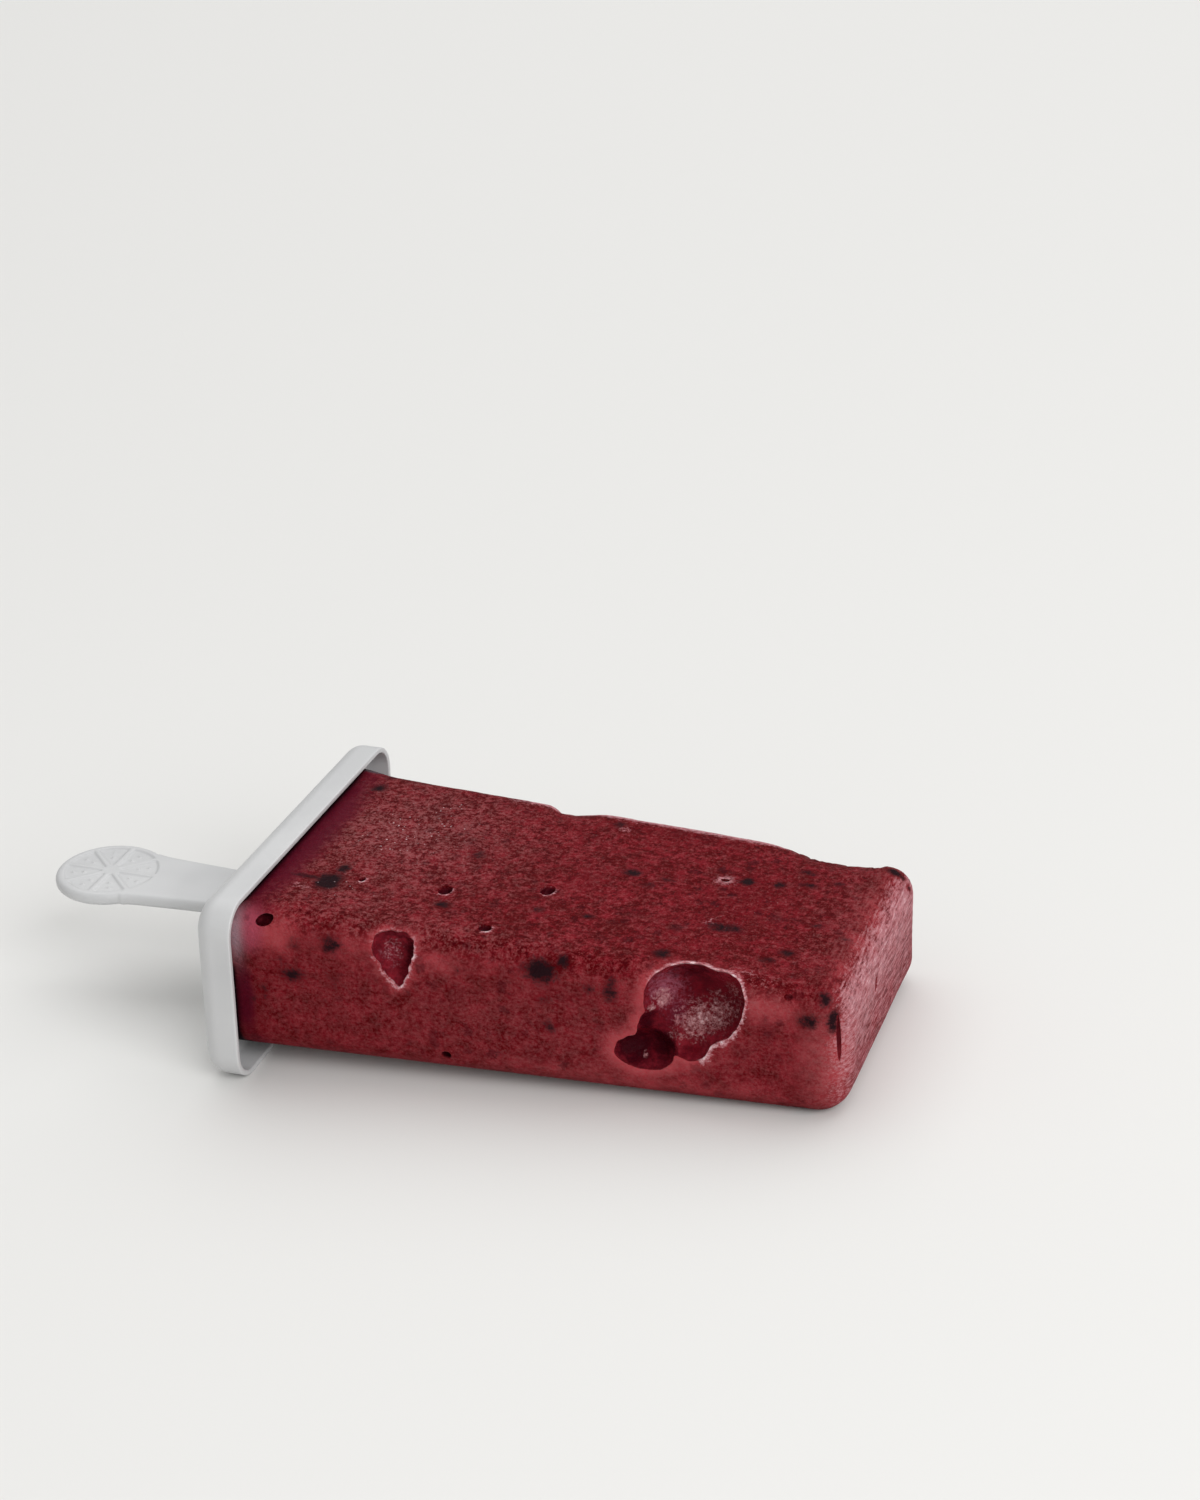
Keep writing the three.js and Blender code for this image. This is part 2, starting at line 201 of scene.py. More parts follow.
def soften(piece, rounds):
    """Takes the sharpness off a piece's small edges."""
    softer = piece.modifiers.new("soften", "SMOOTH")
    softer.factor = 0.5
    softer.iterations = rounds


def new_collection(name):
    made = bpy.data.collections.new(name)
    bpy.context.scene.collection.children.link(made)
    return made


def combine(piece, operation, collection):
    """Joins a piece with all that a collection holds, or cuts all of it out."""
    step = piece.modifiers.new(collection.name, "BOOLEAN")
    step.operation = operation
    step.operand_type = "COLLECTION"
    step.collection = collection
    step.solver = "MANIFOLD"


def as_finished(made):
    """The mesh that an object's modifiers give, with the object itself taken away."""
    mesh = bpy.data.meshes.new_from_object(made.evaluated_get(bpy.context.evaluated_depsgraph_get()))
    bpy.data.objects.remove(made)
    return mesh


def discard(collection):
    for used in list(collection.objects):
        bpy.data.objects.remove(used)
    bpy.data.collections.remove(collection)


def points_of(mesh):
    flat = np.empty(len(mesh.vertices) * 3)
    mesh.vertices.foreach_get("co", flat)
    return flat.reshape(-1, 3)


def push_out(mesh, amount):
    """Moves each point outwards by its own amount."""
    flat = np.empty(len(mesh.vertices) * 3)
    mesh.vertex_normals.foreach_get("vector", flat)
    moved = points_of(mesh) + flat.reshape(-1, 3) * amount[:, None]
    mesh.vertices.foreach_set("co", moved.ravel())
    mesh.update()


def smoothstep(value, low, high):
    share = np.clip((value - low) / (high - low), 0, 1)
    return share * share * (3 - 2 * share)


def grain(places, scale, seed=0.0, octaves=1):
    """Noise from about -1 to 1 at each place, with a scale along each axis."""
    shift = Vector((seed, 1.7 * seed, -2.3 * seed))
    scaled = places * np.array(scale)
    if octaves == 1:
        return np.array([noise.noise(Vector(p) + shift) for p in scaled])
    return np.array([noise.fractal(Vector(p) + shift, 0.6, 2.1, octaves) for p in scaled])


def patches(places, listed):
    """How strong soft patches are at each place, from each one's middle, reach and strength."""
    total = np.zeros(len(places))
    for at, reach, strength in listed:
        spread = (((places - np.array(at)) / np.array(reach)) ** 2).sum(1)
        total = np.maximum(total, strength * np.exp(-spread))
    return total


# The far upper edge has chipped and melted back: where along it, how far towards the lid and towards the tip,
# and how deep. Its last stretch is nibbled too, and by the lid it stands up a little.
EDGE_LOSSES = [(38.6, 2.6, 5.0, 1.3), (88.5, 9.5, 7.2, 2.0)]
LOSS_REACH = 5.5
SIDEWAYS_LOSS = 0.6
NIBBLES_START, NIBBLES_END = (74, 82), (95, 98)
NIBBLE_DEPTH = 0.75
LIFTED = [((-0.8, 27.0, 13.0), (4.0, 2.6, 3.0), 0.8)]


def edge_loss(places):
    x = places[:, 0]
    from_edge = np.hypot(places[:, 1] - ice_width(x) / 2, places[:, 2] - ice_thickness(x) / 2) / LOSS_REACH
    total = np.zeros(len(places))
    for middle, before, after, depth in EDGE_LOSSES:
        along = np.abs(x - middle) / np.where(x < middle, before, after)
        total += depth * np.exp(-(along ** 3) - from_edge ** 2)
    total *= 1 + 0.2 * grain(places, (0.5, 0.5, 0.5), 9)
    nibbled = smoothstep(x, *NIBBLES_START) * (1 - smoothstep(x, *NIBBLES_END))
    nibbled *= np.exp(-((1.4 * from_edge) ** 2))
    bites = grain(places, (0.5, 0.3, 0.3), 4) + 0.8 * grain(places, (1.15, 0.6, 0.6), 6)
    return total + NIBBLE_DEPTH * nibbled * np.maximum(bites, -0.15)


# The faces swell and dip a little: how much, at what scale along X, Y and Z, and a seed. The swells fade
# towards the underside, which lies flat.
SWELLS = [(0.16, (0.06, 0.08, 0.08), 0), (0.06, (0.3, 0.4, 0.4), 3), (0.045, (0.9, 1.1, 1.1), 5)]
SWELLS_FADE = 6


def worn_slab():
    """The slab as one even skin of small faces, with its swells and its lost edges."""
    slab = as_object("slab", as_moulded(), bpy.context.scene.collection)
    even_out(slab, FACE_SIZE)
    mesh = as_finished(slab)
    places = points_of(mesh)
    swell = sum(height * grain(places, scale, seed) for height, scale, seed in SWELLS)
    underside = -ice_thickness(places[:, 0]) / 2
    swell *= smoothstep(places[:, 2], underside, underside + SWELLS_FADE)
    loss = edge_loss(places)
    places += np.column_stack([0 * loss, -SIDEWAYS_LOSS * loss, patches(places, LIFTED) - loss])
    mesh.vertices.foreach_set("co", places.ravel())
    push_out(mesh, swell)
    return mesh


# Each pit is one or more air bubbles, with a middle, half axes along X, Y and Z, and a lean about Y. The
# first is the largest, a bowl with six smaller lobes, and the second has the outline of a shield. The last
# two are on the far side and the underside.
PITS = [
    [
        ((76.3, -25.0, 6.4), (8.2, 6.2, 6.6), 0.1), ((80.1, -24.8, 7.5), (4.9, 4.6, 5.0), 0),
        ((72.6, -25.0, 6.9), (4.7, 4.8, 4.9), 0), ((77.4, -25.6, 2.9), (4.3, 3.6, 3.4), 0),
        ((70.6, -25.8, 1.0), (3.6, 3.4, 4.6), 0), ((68.2, -25.5, -2.9), (5.1, 3.9, 3.3), 0),
        ((75.9, -25.9, -0.1), (3.3, 2.8, 3.1), 0),
    ],
    [
        ((25.3, -27.3, 9.7), (3.0, 2.6, 3.3), 0), ((27.0, -27.3, 9.6), (2.9, 2.6, 3.5), 0),
        ((26.5, -27.4, 7.0), (2.6, 2.3, 2.9), 0), ((26.9, -27.5, 4.6), (1.2, 1.4, 1.7), 0),
    ],
    [((58.0, 27.4, -1.5), (5.6, 3.4, 3.9), 0.4)],
    [((46.0, 9.0, -12.6), (4.6, 3.6, 2.6), 0)],
]
# The small pits are single bubbles: four on top, three on the near side, and the last four on the far side
# and the underside.
TOP_PITS = [
    ((14.6, -12.2, 12.9), (0.6, 0.9, 0.8), 0),
    ((29.1, -11.2, 12.4), (1.2, 1.7, 1.2), 0),
    ((45.2, -5.7, 12.1), (1.3, 1.8, 1.3), 0),
    ((39.8, -21.2, 12.1), (1.2, 1.2, 1.1), 0),
]
SMALL_PITS = [
    ((3.4, -27.0, 11.4), (1.8, 1.5, 1.0), -0.35),
    *TOP_PITS,
    ((34.7, -27.2, -8.6), (0.9, 1.2, 0.8), 0),
    ((91.5, -24.5, 10.0), (0.8, 0.9, 0.6), 0),
    ((18.5, 28.4, 3.0), (2.0, 1.8, 1.7), 0),
    ((33.0, 27.9, -5.0), (1.2, 1.2, 1.2), 0),
    ((82.0, 26.2, 4.0), (1.0, 1.0, 1.0), 0),
    ((70.0, -9.0, -11.9), (1.3, 1.3, 1.3), 0),
]
# A long crack by the tip's near edge, a short one in the tip, and a pinhole on top.
CRACKS = [
    ((99.7, -23.9, 3.4), (0.40, 0.50, 4.8), -0.067),
    ((101.4, -5.6, 3.8), (0.6, 0.8, 1.7), 0),
    ((72.1, 7.3, 11.7), (0.8, 0.6, 0.7), 0),
]
EVERY_CAVITY = PITS + [[bubble] for bubble in SMALL_PITS + CRACKS]
EVERY_BUBBLE = [bubble for bubbles in EVERY_CAVITY for bubble in bubbles]
PIT_MARGIN = 2.2
FINEST_WALL, COARSEST_WALL = 0.12, 0.35
# Cavities of a middling size have the most ragged walls.
RAGGED_FROM, RAGGED_TO = 2, 3
RAGGED, SMOOTH = 0.28, 0.06


def cavity(bubbles, collection):
    """One cavity: its bubbles joined, softened where they meet, and made uneven."""
    shape = bmesh.new()
    for at, half, lean in bubbles:
        place = Matrix.LocRotScale(Vector(at), Euler((0, lean, 0)), Vector(half))
        bmesh.ops.create_icosphere(shape, subdivisions=4, radius=1.0, matrix=place)
    joined = as_object("joined", shape, bpy.context.scene.collection)
    size = min(bubbles[0][1])
    even_out(joined, min(max(0.18 * size, FINEST_WALL), COARSEST_WALL))
    soften(joined, rounds=14 if len(bubbles) > 1 else 2)
    mesh = as_finished(joined)
    places = points_of(mesh)
    uneven = 0.05 * size * grain(places, (1.2 / size,) * 3, 2)
    uneven += 0.06 * min(size, 3) * grain(places, (0.7,) * 3, 8)
    roughness = RAGGED if RAGGED_FROM < size < RAGGED_TO else SMOOTH
    push_out(mesh, uneven + roughness * min(size, 1) * grain(places, (1.25,) * 3, 14))
    collection.objects.link(bpy.data.objects.new("cavity", mesh))


def near_a_pit(place):
    for at, half, _ in EVERY_BUBBLE:
        if sum(((a - b) / (r + PIT_MARGIN)) ** 2 for a, b, r in zip(place, at, half)) < 1:
            return True
    return False


def with_pits(mesh):
    """The slab with finer faces round its pits, and every cavity cut out of it."""
    shape = bmesh.new()
    shape.from_mesh(mesh)
    near = {v for v in shape.verts if near_a_pit(v.co)}
    edges = [e for e in shape.edges if e.verts[0] in near and e.verts[1] in near]
    bmesh.ops.subdivide_edges(shape, edges=edges, cuts=1, use_grid_fill=True)
    bmesh.ops.triangulate(shape, faces=[f for f in shape.faces if len(f.verts) > 4])
    slab = as_object("slab", shape, bpy.context.scene.collection)
    cavities = new_collection("cavities")
    for bubbles in EVERY_CAVITY:
        cavity(bubbles, cavities)
    combine(slab, "DIFFERENCE", cavities)
    finished = as_finished(slab)
    discard(cavities)
    return finished


worn = worn_slab()
worn_skin = BVHTree.FromPolygons([v.co for v in worn.vertices], [p.vertices for p in worn.polygons])
ice_mesh = with_pits(worn)
ice_mesh.name = "ice"
drawn = points_of(ice_mesh)

# How far each point lies below the worn faces, which tells a pit's wall from a face, and how far each point
# of the faces is from the nearest pit wall.
WALL_STARTS = 0.12
below = np.array([worn_skin.find_nearest(p)[3] for p in drawn])
wall = below > WALL_STARTS
walls = kdtree.KDTree(int(wall.sum()))
for index in np.flatnonzero(wall):
    walls.insert(drawn[index], index)
walls.balance()
to_pit = np.array([0.0 if inside else walls.find(p)[2] for p, inside in zip(drawn, wall)])

# The lips of the pits are a little rounded, and crystals of frost roughen their walls.
LIP_WIDTH, LIP_DEPTH = 0.45, 0.4
CRYSTALS = 0.10
lips = (to_pit < LIP_WIDTH) & (below < LIP_DEPTH)
shape = bmesh.new()
shape.from_mesh(ice_mesh)
soft = [v for v, is_lip in zip(shape.verts, lips) if is_lip]
for _ in range(2):
    bmesh.ops.smooth_vert(shape, verts=soft, factor=0.5, use_axis_x=True, use_axis_y=True, use_axis_z=True)
shape.to_mesh(ice_mesh)
shape.free()
push_out(ice_mesh, CRYSTALS * grain(drawn, (1.5, 1.5, 1.5), 7, 3) * smoothstep(below, 0.3, 1.4))

# Scraps of dark skin, of which the larger ones have places of their own.
SKINS = [
    ((8.4, -28.6, 2.6), (2.5, 3, 1.7), 1.0), ((15.5, -28.2, 9.2), (2.2, 3, 1.7), 1.0),
    ((9.4, -28.5, 8.6), (1.6, 3, 1.9), 0.55), ((51.2, -26.7, 9.2), (3.4, 3, 2.3), 1.1),
    ((54.6, -26.0, 10.9), (1.4, 3, 1.2), 0.9), ((98.9, -24.9, 6.7), (1.0, 3, 2.2), 1.2),
    ((95.0, -25.6, 6.8), (2.0, 3, 1.3), 1.0), ((97.2, -23.5, 10.0), (1.5, 1.7, 2.0), 0.8),
    ((52.7, -27.1, -0.5), (1.6, 3, 1.4), 0.8), ((62.8, -26.7, 7.6), (1.6, 3, 2.8), 0.85),
    ((59.4, -26.8, 7.6), (1.5, 3, 1.5), 0.7), ((51.8, -27.0, 4.6), (1.9, 3, 1.5), 0.6),
    ((6.3, -28.6, 5.7), (1.6, 3, 1.3), 0.6), ((15.6, -28.3, 3.2), (1.6, 3, 2.2), 0.5),
    ((3.2, -28.7, -1.4), (1.2, 3, 2.0), 0.7),
    ((44.0, -27.4, -7.1), (1.2, 3, 1.8), 0.5), ((37.4, -27.6, 7.6), (0.9, 3, 1.0), 0.7),
    ((35.0, -27.7, 5.0), (0.9, 3, 1.0), 0.45), ((92.3, -25.7, 0.4), (1.4, 3, 1.3), 0.4),
    ((9.5, -14.7, 13.2), (2.3, 3.4, 3), 1.15), ((10.3, -9.8, 13.2), (1.4, 2.0, 3), 0.8),
    ((4.5, 20.4, 13.3), (1.8, 1.9, 3), 0.8), ((30.5, -16.0, 12.7), (1.8, 1.6, 3), 0.75),
    ((30.0, 2.2, 12.7), (2.0, 2.4, 3), 0.55), ((27.6, 6.0, 12.7), (1.6, 1.8, 3), 0.4),
    ((46.0, -12.6, 12.3), (1.4, 1.4, 3), 0.65), ((54.4, -12.0, 12.1), (1.5, 1.0, 3), 0.75),
    ((58.6, -12.4, 12.0), (1.6, 1.0, 3), 0.55), ((49.2, 20.7, 12.3), (1.6, 1.6, 3), 0.7),
    ((56.6, 4.6, 12.1), (2.2, 1.6, 3), 0.8), ((60.6, 1.6, 12.0), (1.8, 1.6, 3), 0.5),
    ((75.8, 8.0, 11.6), (1.4, 1.7, 3), 1.0), ((81.3, 8.6, 11.5), (1.4, 1.4, 3), 0.8),
    ((69.4, -19.8, 11.8), (2.0, 2.0, 3), 0.75), ((76.6, -8.4, 11.6), (4.0, 2.0, 3), 0.7),
    ((88.2, -13.0, 11.3), (1.9, 1.3, 3), 0.75), ((98.2, 20.3, 10.8), (1.6, 1.4, 3), 0.95),
    ((84.4, 14.2, 11.4), (2.2, 1.3, 3), 0.65), ((90.4, 12.2, 11.3), (1.8, 1.3, 3), 0.6),
    ((86.0, 10.0, 11.4), (2.2, 1.2, 3), 0.7), ((85.8, -16.2, 11.4), (1.8, 1.3, 3), 0.7),
    ((90.6, -3.1, 11.4), (2.2, 1.3, 3), 0.55), ((62.9, 4.1, 12), (1.5, 1.2, 3), 0.6),
    ((95.4, -5.6, 11.2), (2.0, 1.2, 3), 0.45), ((91.2, -19.8, 11.2), (1.6, 1.3, 3), 0.5),
    ((31.4, -2.2, 12.7), (1.3, 1.3, 3), 0.45),
    ((99.5, 20.4, 9.7), (0.8, 0.8, 0.8), 0.9), ((100.8, 19.9, 8.1), (0.6, 0.7, 0.8), 0.9),
    ((5.4, -14.2, 13.3), (3.0, 1.0, 3), 0.75), ((15.8, -28.2, 1.4), (1.2, 3, 1.2), 0.55),
    ((1.4, -28.8, -2.8), (0.9, 3, 0.9), 0.6), ((13.9, -28.3, -1.7), (0.8, 3, 0.8), 0.5),
]
# The rest of the scraps lie by chance on the far side and the underside.
SCRAPS_BY_CHANCE = 34
SHARE_BENEATH = 0.6
chance = random.Random(11)
for _ in range(SCRAPS_BY_CHANCE):
    along = chance.uniform(4, 98)
    if chance.random() < SHARE_BENEATH:
        at = (along, chance.uniform(-0.44, 0.44) * ice_width(along), -ice_thickness(along) / 2)
    else:
        at = (along, ice_width(along) / 2, chance.uniform(-0.4, 0.4) * ice_thickness(along))
    size = chance.uniform(0.9, 2.4)
    SKINS.append((at, (size, size * chance.uniform(0.7, 1.1), size), chance.uniform(0.5, 1.0)))

# What lies on the faces, each as soft patches: scraps of skin, a lifted dark peel, a grey film of frost,
# rime, a veil and a lilac bloom by the lid, rose parts that are partly a painted glow along the edges, deeper
# ruby parts, violet painted shade by the lid, and specks of ice.
FACE_FIELDS = {
    "skin": SKINS,
    "peel": [((0, 26.4, 12.9), (3.6, 1.5, 1.8), 1.25), ((5.4, 26.2, 12.8), (2.6, 0.9, 1.2), 0.8)],
    "film": [
        ((14, 5, 13), (21, 22, 8), 0.9), ((14, -20, 13), (18, 7, 4), 0.55), ((28, -24, 12), (22, 4, 3), 0.5),
        ((97, 0, 8), (6, 28, 6), 0.6), ((98, -24, 0), (5, 5, 12), 0.7), ((84, -25, 8), (10, 3, 3), 0.4),
        ((50, -27, 0), (60, 4, 12), 0.3), ((60, 28, 0), (60, 5, 14), 0.4), ((50, 0, -13), (60, 30, 5), 0.35),
    ],
    "rime": [
        ((101.2, 13, 4), (2.4, 6, 5), 0.40), ((100.6, -11, 8), (2, 6, 2.6), 0.46),
        ((100, -18, 7), (2, 4, 4), 0.36), ((74.0, -7.4, 11.6), (1.2, 0.9, 3), 0.6),
        ((72.1, 7.3, 11.7), (1.7, 1.4, 3), 0.6), ((50.4, 19.6, 12.3), (1.6, 1.2, 3), 0.3),
        ((6.6, -17.4, 13.2), (3, 1.0, 3), 0.26), ((84, -22, 11), (8, 2.5, 3), 0.12),
    ],
    "veil": [((-1.4, -28.4, 9.0), (1.3, 3, 4.2), 1.2)],
    "bloom": [((0.8, -27.8, 9.6), (3.0, 3.6, 4.2), 1.0)],
    "rose_and_glow": [
        ((99.5, -24, 0), (6, 5, 10), 0.7), ((88, -26, 8.4), (8, 3, 3.4), 0.75),
        ((60, -27.6, 9), (40, 2.5, 3), 0.3), ((20, -28, 9.5), (13, 3, 3.5), 0.45),
        ((98, 0, 10), (4, 26, 3), 0.5), ((70, -27, -8.6), (34, 3, 3), 0.5),
        ((5.6, -28, 9.6), (4.5, 3, 3.4), 0.9), ((34, -27.6, 8.4), (6, 3, 2.6), 0.6),
    ],
    "ruby": [
        ((78, 1, 11.6), (9, 15, 4), 0.8), ((62, 22, 12), (17, 6, 4), 0.8), ((51, 0, 12), (6, 7, 3), 0.6),
        ((68, -14, 12), (10, 9, 3), 0.55), ((33, 20, 13), (6, 5, 4), 0.5), ((70, -27, -1), (3, 3, 4), 0.7),
    ],
    # Painted shade in violet along the lid's rim, on all four faces.
    "wine_and_shade": [
        ((0, 0, 13), (6.0, 40, 5), 1.0), ((-0.5, -28, -3), (2.4, 4, 9), 1.0), ((0, 28, 0), (7, 6, 14), 0.9),
        ((0, 0, -13), (7, 40, 5), 0.9),
    ],
    "specks": [
        ((17, 8, 13), (12, 13, 4), 1.0), ((14, -16, 13), (10, 6, 4), 0.6), ((78, -2, 11.6), (16, 14, 4), 0.4),
    ],
}
# What lies on the pits' walls: dark clots, with painted shade under the rims and in the small pits, bright
# juice, wine-coloured parts, a pale haze, and a frosty crust with two painted glints.
PIT_FIELDS = {
    # Dark clots, and painted shade under the largest pit's top rim and on the shield-shaped pit's right wall
    # and top.
    "clot_and_shade": [
        ((74, -19.5, 9.5), (6, 3, 2.6), 0.7), ((65.8, -23, -4.0), (4.0, 4, 3.6), 1.0),
        ((70.3, -22.2, -3.0), (3.2, 3, 3.4), 1.0), ((68.1, -23.6, 1.4), (2.0, 3, 2.8), 0.9),
        ((75.2, -24, -2.6), (1.8, 3, 1.6), 0.6), ((28.4, -25, 8), (1.4, 3, 4), 0.85),
        ((26, -24.5, 11.4), (3, 3, 1.4), 0.6), ((26.9, -26.5, 4.6), (1.6, 3, 1.4), 0.5),
        # Painted shade in the small pits and the cracks.
        *[(at, [2 + r for r in half], 0.9) for at, half, _ in SMALL_PITS + CRACKS],
    ],
    "juice": [
        ((81.5, -22.5, 8.5), (2.5, 3, 3), 0.8), ((75.4, -23.6, -2.6), (2.4, 3, 1.8), 0.7),
        ((26.0, -25, 5.4), (2.0, 3, 2), 0.5),
    ],
    "wine_and_shade": [((72.3, -20.8, 1.7), (2.4, 3, 3.2), 0.6), ((69.6, -22.6, 3.6), (2.4, 3, 3), 0.4)],
    "haze": [
        ((71.0, -21.8, 6.6), (3.9, 3, 4.0), 1.1), ((72.8, -20.8, 2.6), (2.8, 3, 3.8), 0.65),
        ((25, -24.6, 7.6), (2.4, 3, 3.2), 0.55),
    ],
    "crust_and_glints": [
        ((76.1, -21.0, 1.3), (3.6, 3, 3.0), 0.9), ((79.0, -21.3, 3.4), (3.2, 3, 3.0), 0.85),
        ((73.2, -22, -0.8), (2.0, 3, 1.6), 0.5), ((81.4, -21, 6.0), (2.2, 3, 3.6), 0.4),
        ((70.2, -22.0, 4.9), (1.6, 1.8, 1.4), 1.0), ((68.8, -23.5, 3.9), (1.0, 1.4, 0.8), 0.8),
        # Two painted glints on the wet dark lobe of the largest pit.
        ((67.6, -22.9, -5.3), (0.3, 1, 0.5), 0.9), ((64.6, -24.0, -5.9), (0.5, 1, 0.3), 0.8),
        ((25.2, -24.6, 8.0), (2.0, 3, 2.8), 0.4),
    ],
}

# The lips catch frost on one side, and are lit there with a painted highlight: each pit's middle, its reach,
# the side that is whitest, the least share, and how wide the frost is.
LIPS = [
    ((74.6, -26, 4), 14, (0.6, 0.2, 0.78), -0.25, 0.46),
    ((76.0, -26, 0), 8.5, (1, 0, 0.1), -1.8, 0.75),
    ((26.2, -27, 8.2), 7, (0.8, 0, -0.6), 0.45, 0.42),
]
LIPS += [(at, max(half) + 1.2, (0.75, -0.6, -0.3), 0.1, 0.4) for at, half, _ in TOP_PITS]
lip_frost_and_highlight = np.zeros(len(drawn))
for middle, reach, whitest, least, thickness in LIPS:
    offset = drawn - np.array(middle)
    distance = np.linalg.norm(offset, axis=1)
    facing = smoothstep(offset @ np.array(whitest) / np.maximum(distance, 0.1), -0.3, 0.5)
    share = np.maximum(least + (1 - least) * facing, 0) * (distance < reach)
    lip_frost_and_highlight = np.maximum(lip_frost_and_highlight, share * np.exp(-((to_pit / thickness) ** 2)) * (1 - smoothstep(below, 0.2, 0.6)))
lip_frost_and_highlight *= 0.8 + 0.7 * grain(drawn, (0.9, 0.9, 0.9), 12)

# A thin line of frost, partly a painted highlight on the edge, runs along the far edge, and frost veils the
# tip.
FAR_LINE_INSET, FAR_LINE_WIDTH = 3.3, 1.2
x, y, z = drawn.T
far_frost_and_highlight = np.exp(-(((y - ice_width(x) / 2 + FAR_LINE_INSET) / FAR_LINE_WIDTH) ** 2))
far_frost_and_highlight *= smoothstep(x, 24, 34) * (1 - smoothstep(x, 76, 82)) * (z > 8)
tip_veil = smoothstep(x, 96.6, 101) * (0.6 + 0.4 * smoothstep(z, -6, 7))


def ring_round(middle, reach, width):
    """How strong a soft ring is on the faces round one pit."""
    of_this = np.linalg.norm(drawn - np.array(middle), axis=1) < reach
    return np.exp(-((to_pit / width) ** 1.4)) * of_this


# Painted glow: the puree is drawn paler round the two large pits, as light through their thin walls would
# make it, and round the largest most on its side towards the lid.
lid_side = smoothstep((drawn - np.array([75, -26, 3])) @ np.array([-0.85, 0, -0.5]), -3, 4)
painted_glow = (0.35 + 0.65 * lid_side) * ring_round((74, -26, 3), reach=15, width=1.9)
painted_glow = np.maximum(painted_glow, 0.7 * ring_round((26, -27, 8), reach=9, width=1.5))

# The shadow in the gap by the lid ends deeper on the near side, and deepest under the veil.
veiled = patches(drawn, FACE_FIELDS["veil"])
shade_end = np.where(y < -27.5, -1.4, -0.25) - 2 * np.minimum(2 * veiled, 1)

# How near each point is to the upper face, how thickly loose scraps lie there, the shadow by the lid, and how
# far a point is inside a pit and how deep.
ice_fields = {
    "upper": smoothstep(z - ice_thickness(x) / 2, -4.6, -0.4),
    "loose": 0.15 + 0.85 * np.maximum.reduce([
        smoothstep(y, 24, 26), smoothstep(-z, 9, 11), patches(drawn, [((76, 2, 12), (22, 20, 4), 0.6)]),
    ]),
    "shade": 1 - smoothstep(x - shade_end, -0.4, 0.25),
    "hollow": smoothstep(below, 0.15, 0.7),
    "depth": smoothstep(below, 0.6, 5.5),
}
for field, listed in FACE_FIELDS.items():
    ice_fields[field] = patches(drawn, listed) * ~wall
for field, listed in PIT_FIELDS.items():
    ice_fields[field] = ice_fields.get(field, 0) + patches(drawn, listed) * wall
ice_fields["skin"] *= 1 + 0.25 * ice_fields["upper"]
ice_fields["rime"] = np.maximum.reduce([
    ice_fields["rime"], 0.48 * tip_veil * ~wall, lip_frost_and_highlight, 0.6 * far_frost_and_highlight * ~wall,
])
ice_fields["rime"] *= 1 - np.minimum(1.3 * ice_fields["skin"], 1)
ice_fields["rose_and_glow"] = np.maximum(ice_fields["rose_and_glow"], painted_glow * ~wall)
for field, values in ice_fields.items():
    ice_mesh.attributes.new(field, "FLOAT", "POINT").data.foreach_set("value", values.astype(np.float32))


def node(tree, kind, settings=(), **inputs):
    """Adds one shader node. An input is a number, a colour or the socket that feeds it."""
    made = tree.nodes.new("ShaderNode" + kind)
    for key, value in dict(settings).items():
        setattr(made, key, value)
    for key, value in inputs.items():
        feed(tree, made.inputs[key.replace("_", " ")], value)
    return made


def feed(tree, socket, value):
    if isinstance(value, bpy.types.NodeSocket):
        tree.links.new(value, socket)
    else:
        socket.default_value = value


def new_material(name):
    """A new material, its node tree, its shader, and each point's place in millimetres as drawn."""
    material = bpy.data.materials.new(name)
    material.use_nodes = True
    tree = material.node_tree
    tree.nodes.clear()
    shader = tree.nodes.new("ShaderNodeBsdfPrincipled")
    output = tree.nodes.new("ShaderNodeOutputMaterial")
    tree.links.new(shader.outputs["BSDF"], output.inputs["Surface"])
    laid_down = tree.nodes.new("ShaderNodeTexCoord").outputs["Object"]
    place = node(
        tree, "Mapping", {"vector_type": "TEXTURE"}, Vector=laid_down,
        Location=rim_middle, Rotation=(0, LEAN, 0), Scale=(MM, MM, MM),
    )
    return material, tree, shader, place.outputs["Vector"]


def stretched(tree, place, scale):
    return node(tree, "Mapping", Vector=place, Scale=scale).outputs["Vector"]


def cloud(tree, place, scale=1.0, detail=3.0, roughness=0.55):
    made = node(tree, "TexNoise", Vector=place, Scale=scale, Detail=detail, Roughness=roughness)
    return made.outputs["Fac"]


def between(tree, value, low, high, start=0.0, end=1.0):
    """Turns low to high into start to end, smoothly."""
    made = node(
        tree, "MapRange", {"interpolation_type": "SMOOTHSTEP"}, Value=value,
        From_Min=low, From_Max=high, To_Min=start, To_Max=end,
    )
    return made.outputs["Result"]


def maths(tree, operation, first, second=0.0, third=0.0):
    made = node(tree, "Math", {"operation": operation})
    for socket, value in zip(made.inputs, (first, second, third)):
        feed(tree, socket, value)
    return made.outputs["Value"]


def swayed(tree, value, cloudy, amount):
    """A value that a cloud pushes up and down by up to half an amount."""
    return maths(tree, "ADD", value, maths(tree, "MULTIPLY_ADD", cloudy, amount, -amount / 2))


def over(tree, share, under, top):
    """Lays one colour over another by a share."""
    made = node(tree, "Mix", {"data_type": "RGBA", "clamp_result": True})
    for socket, value in zip((made.inputs[0], made.inputs[6], made.inputs[7]), (share, under, top)):
        feed(tree, socket, value)
    return made.outputs[2]


def laid(tree, under, top, strength, low, high, share=1.0):
    """Lays one colour over another where something is strong: from nothing at low to a share at high."""
    return over(tree, between(tree, strength, low, high, 0, share), under, top)


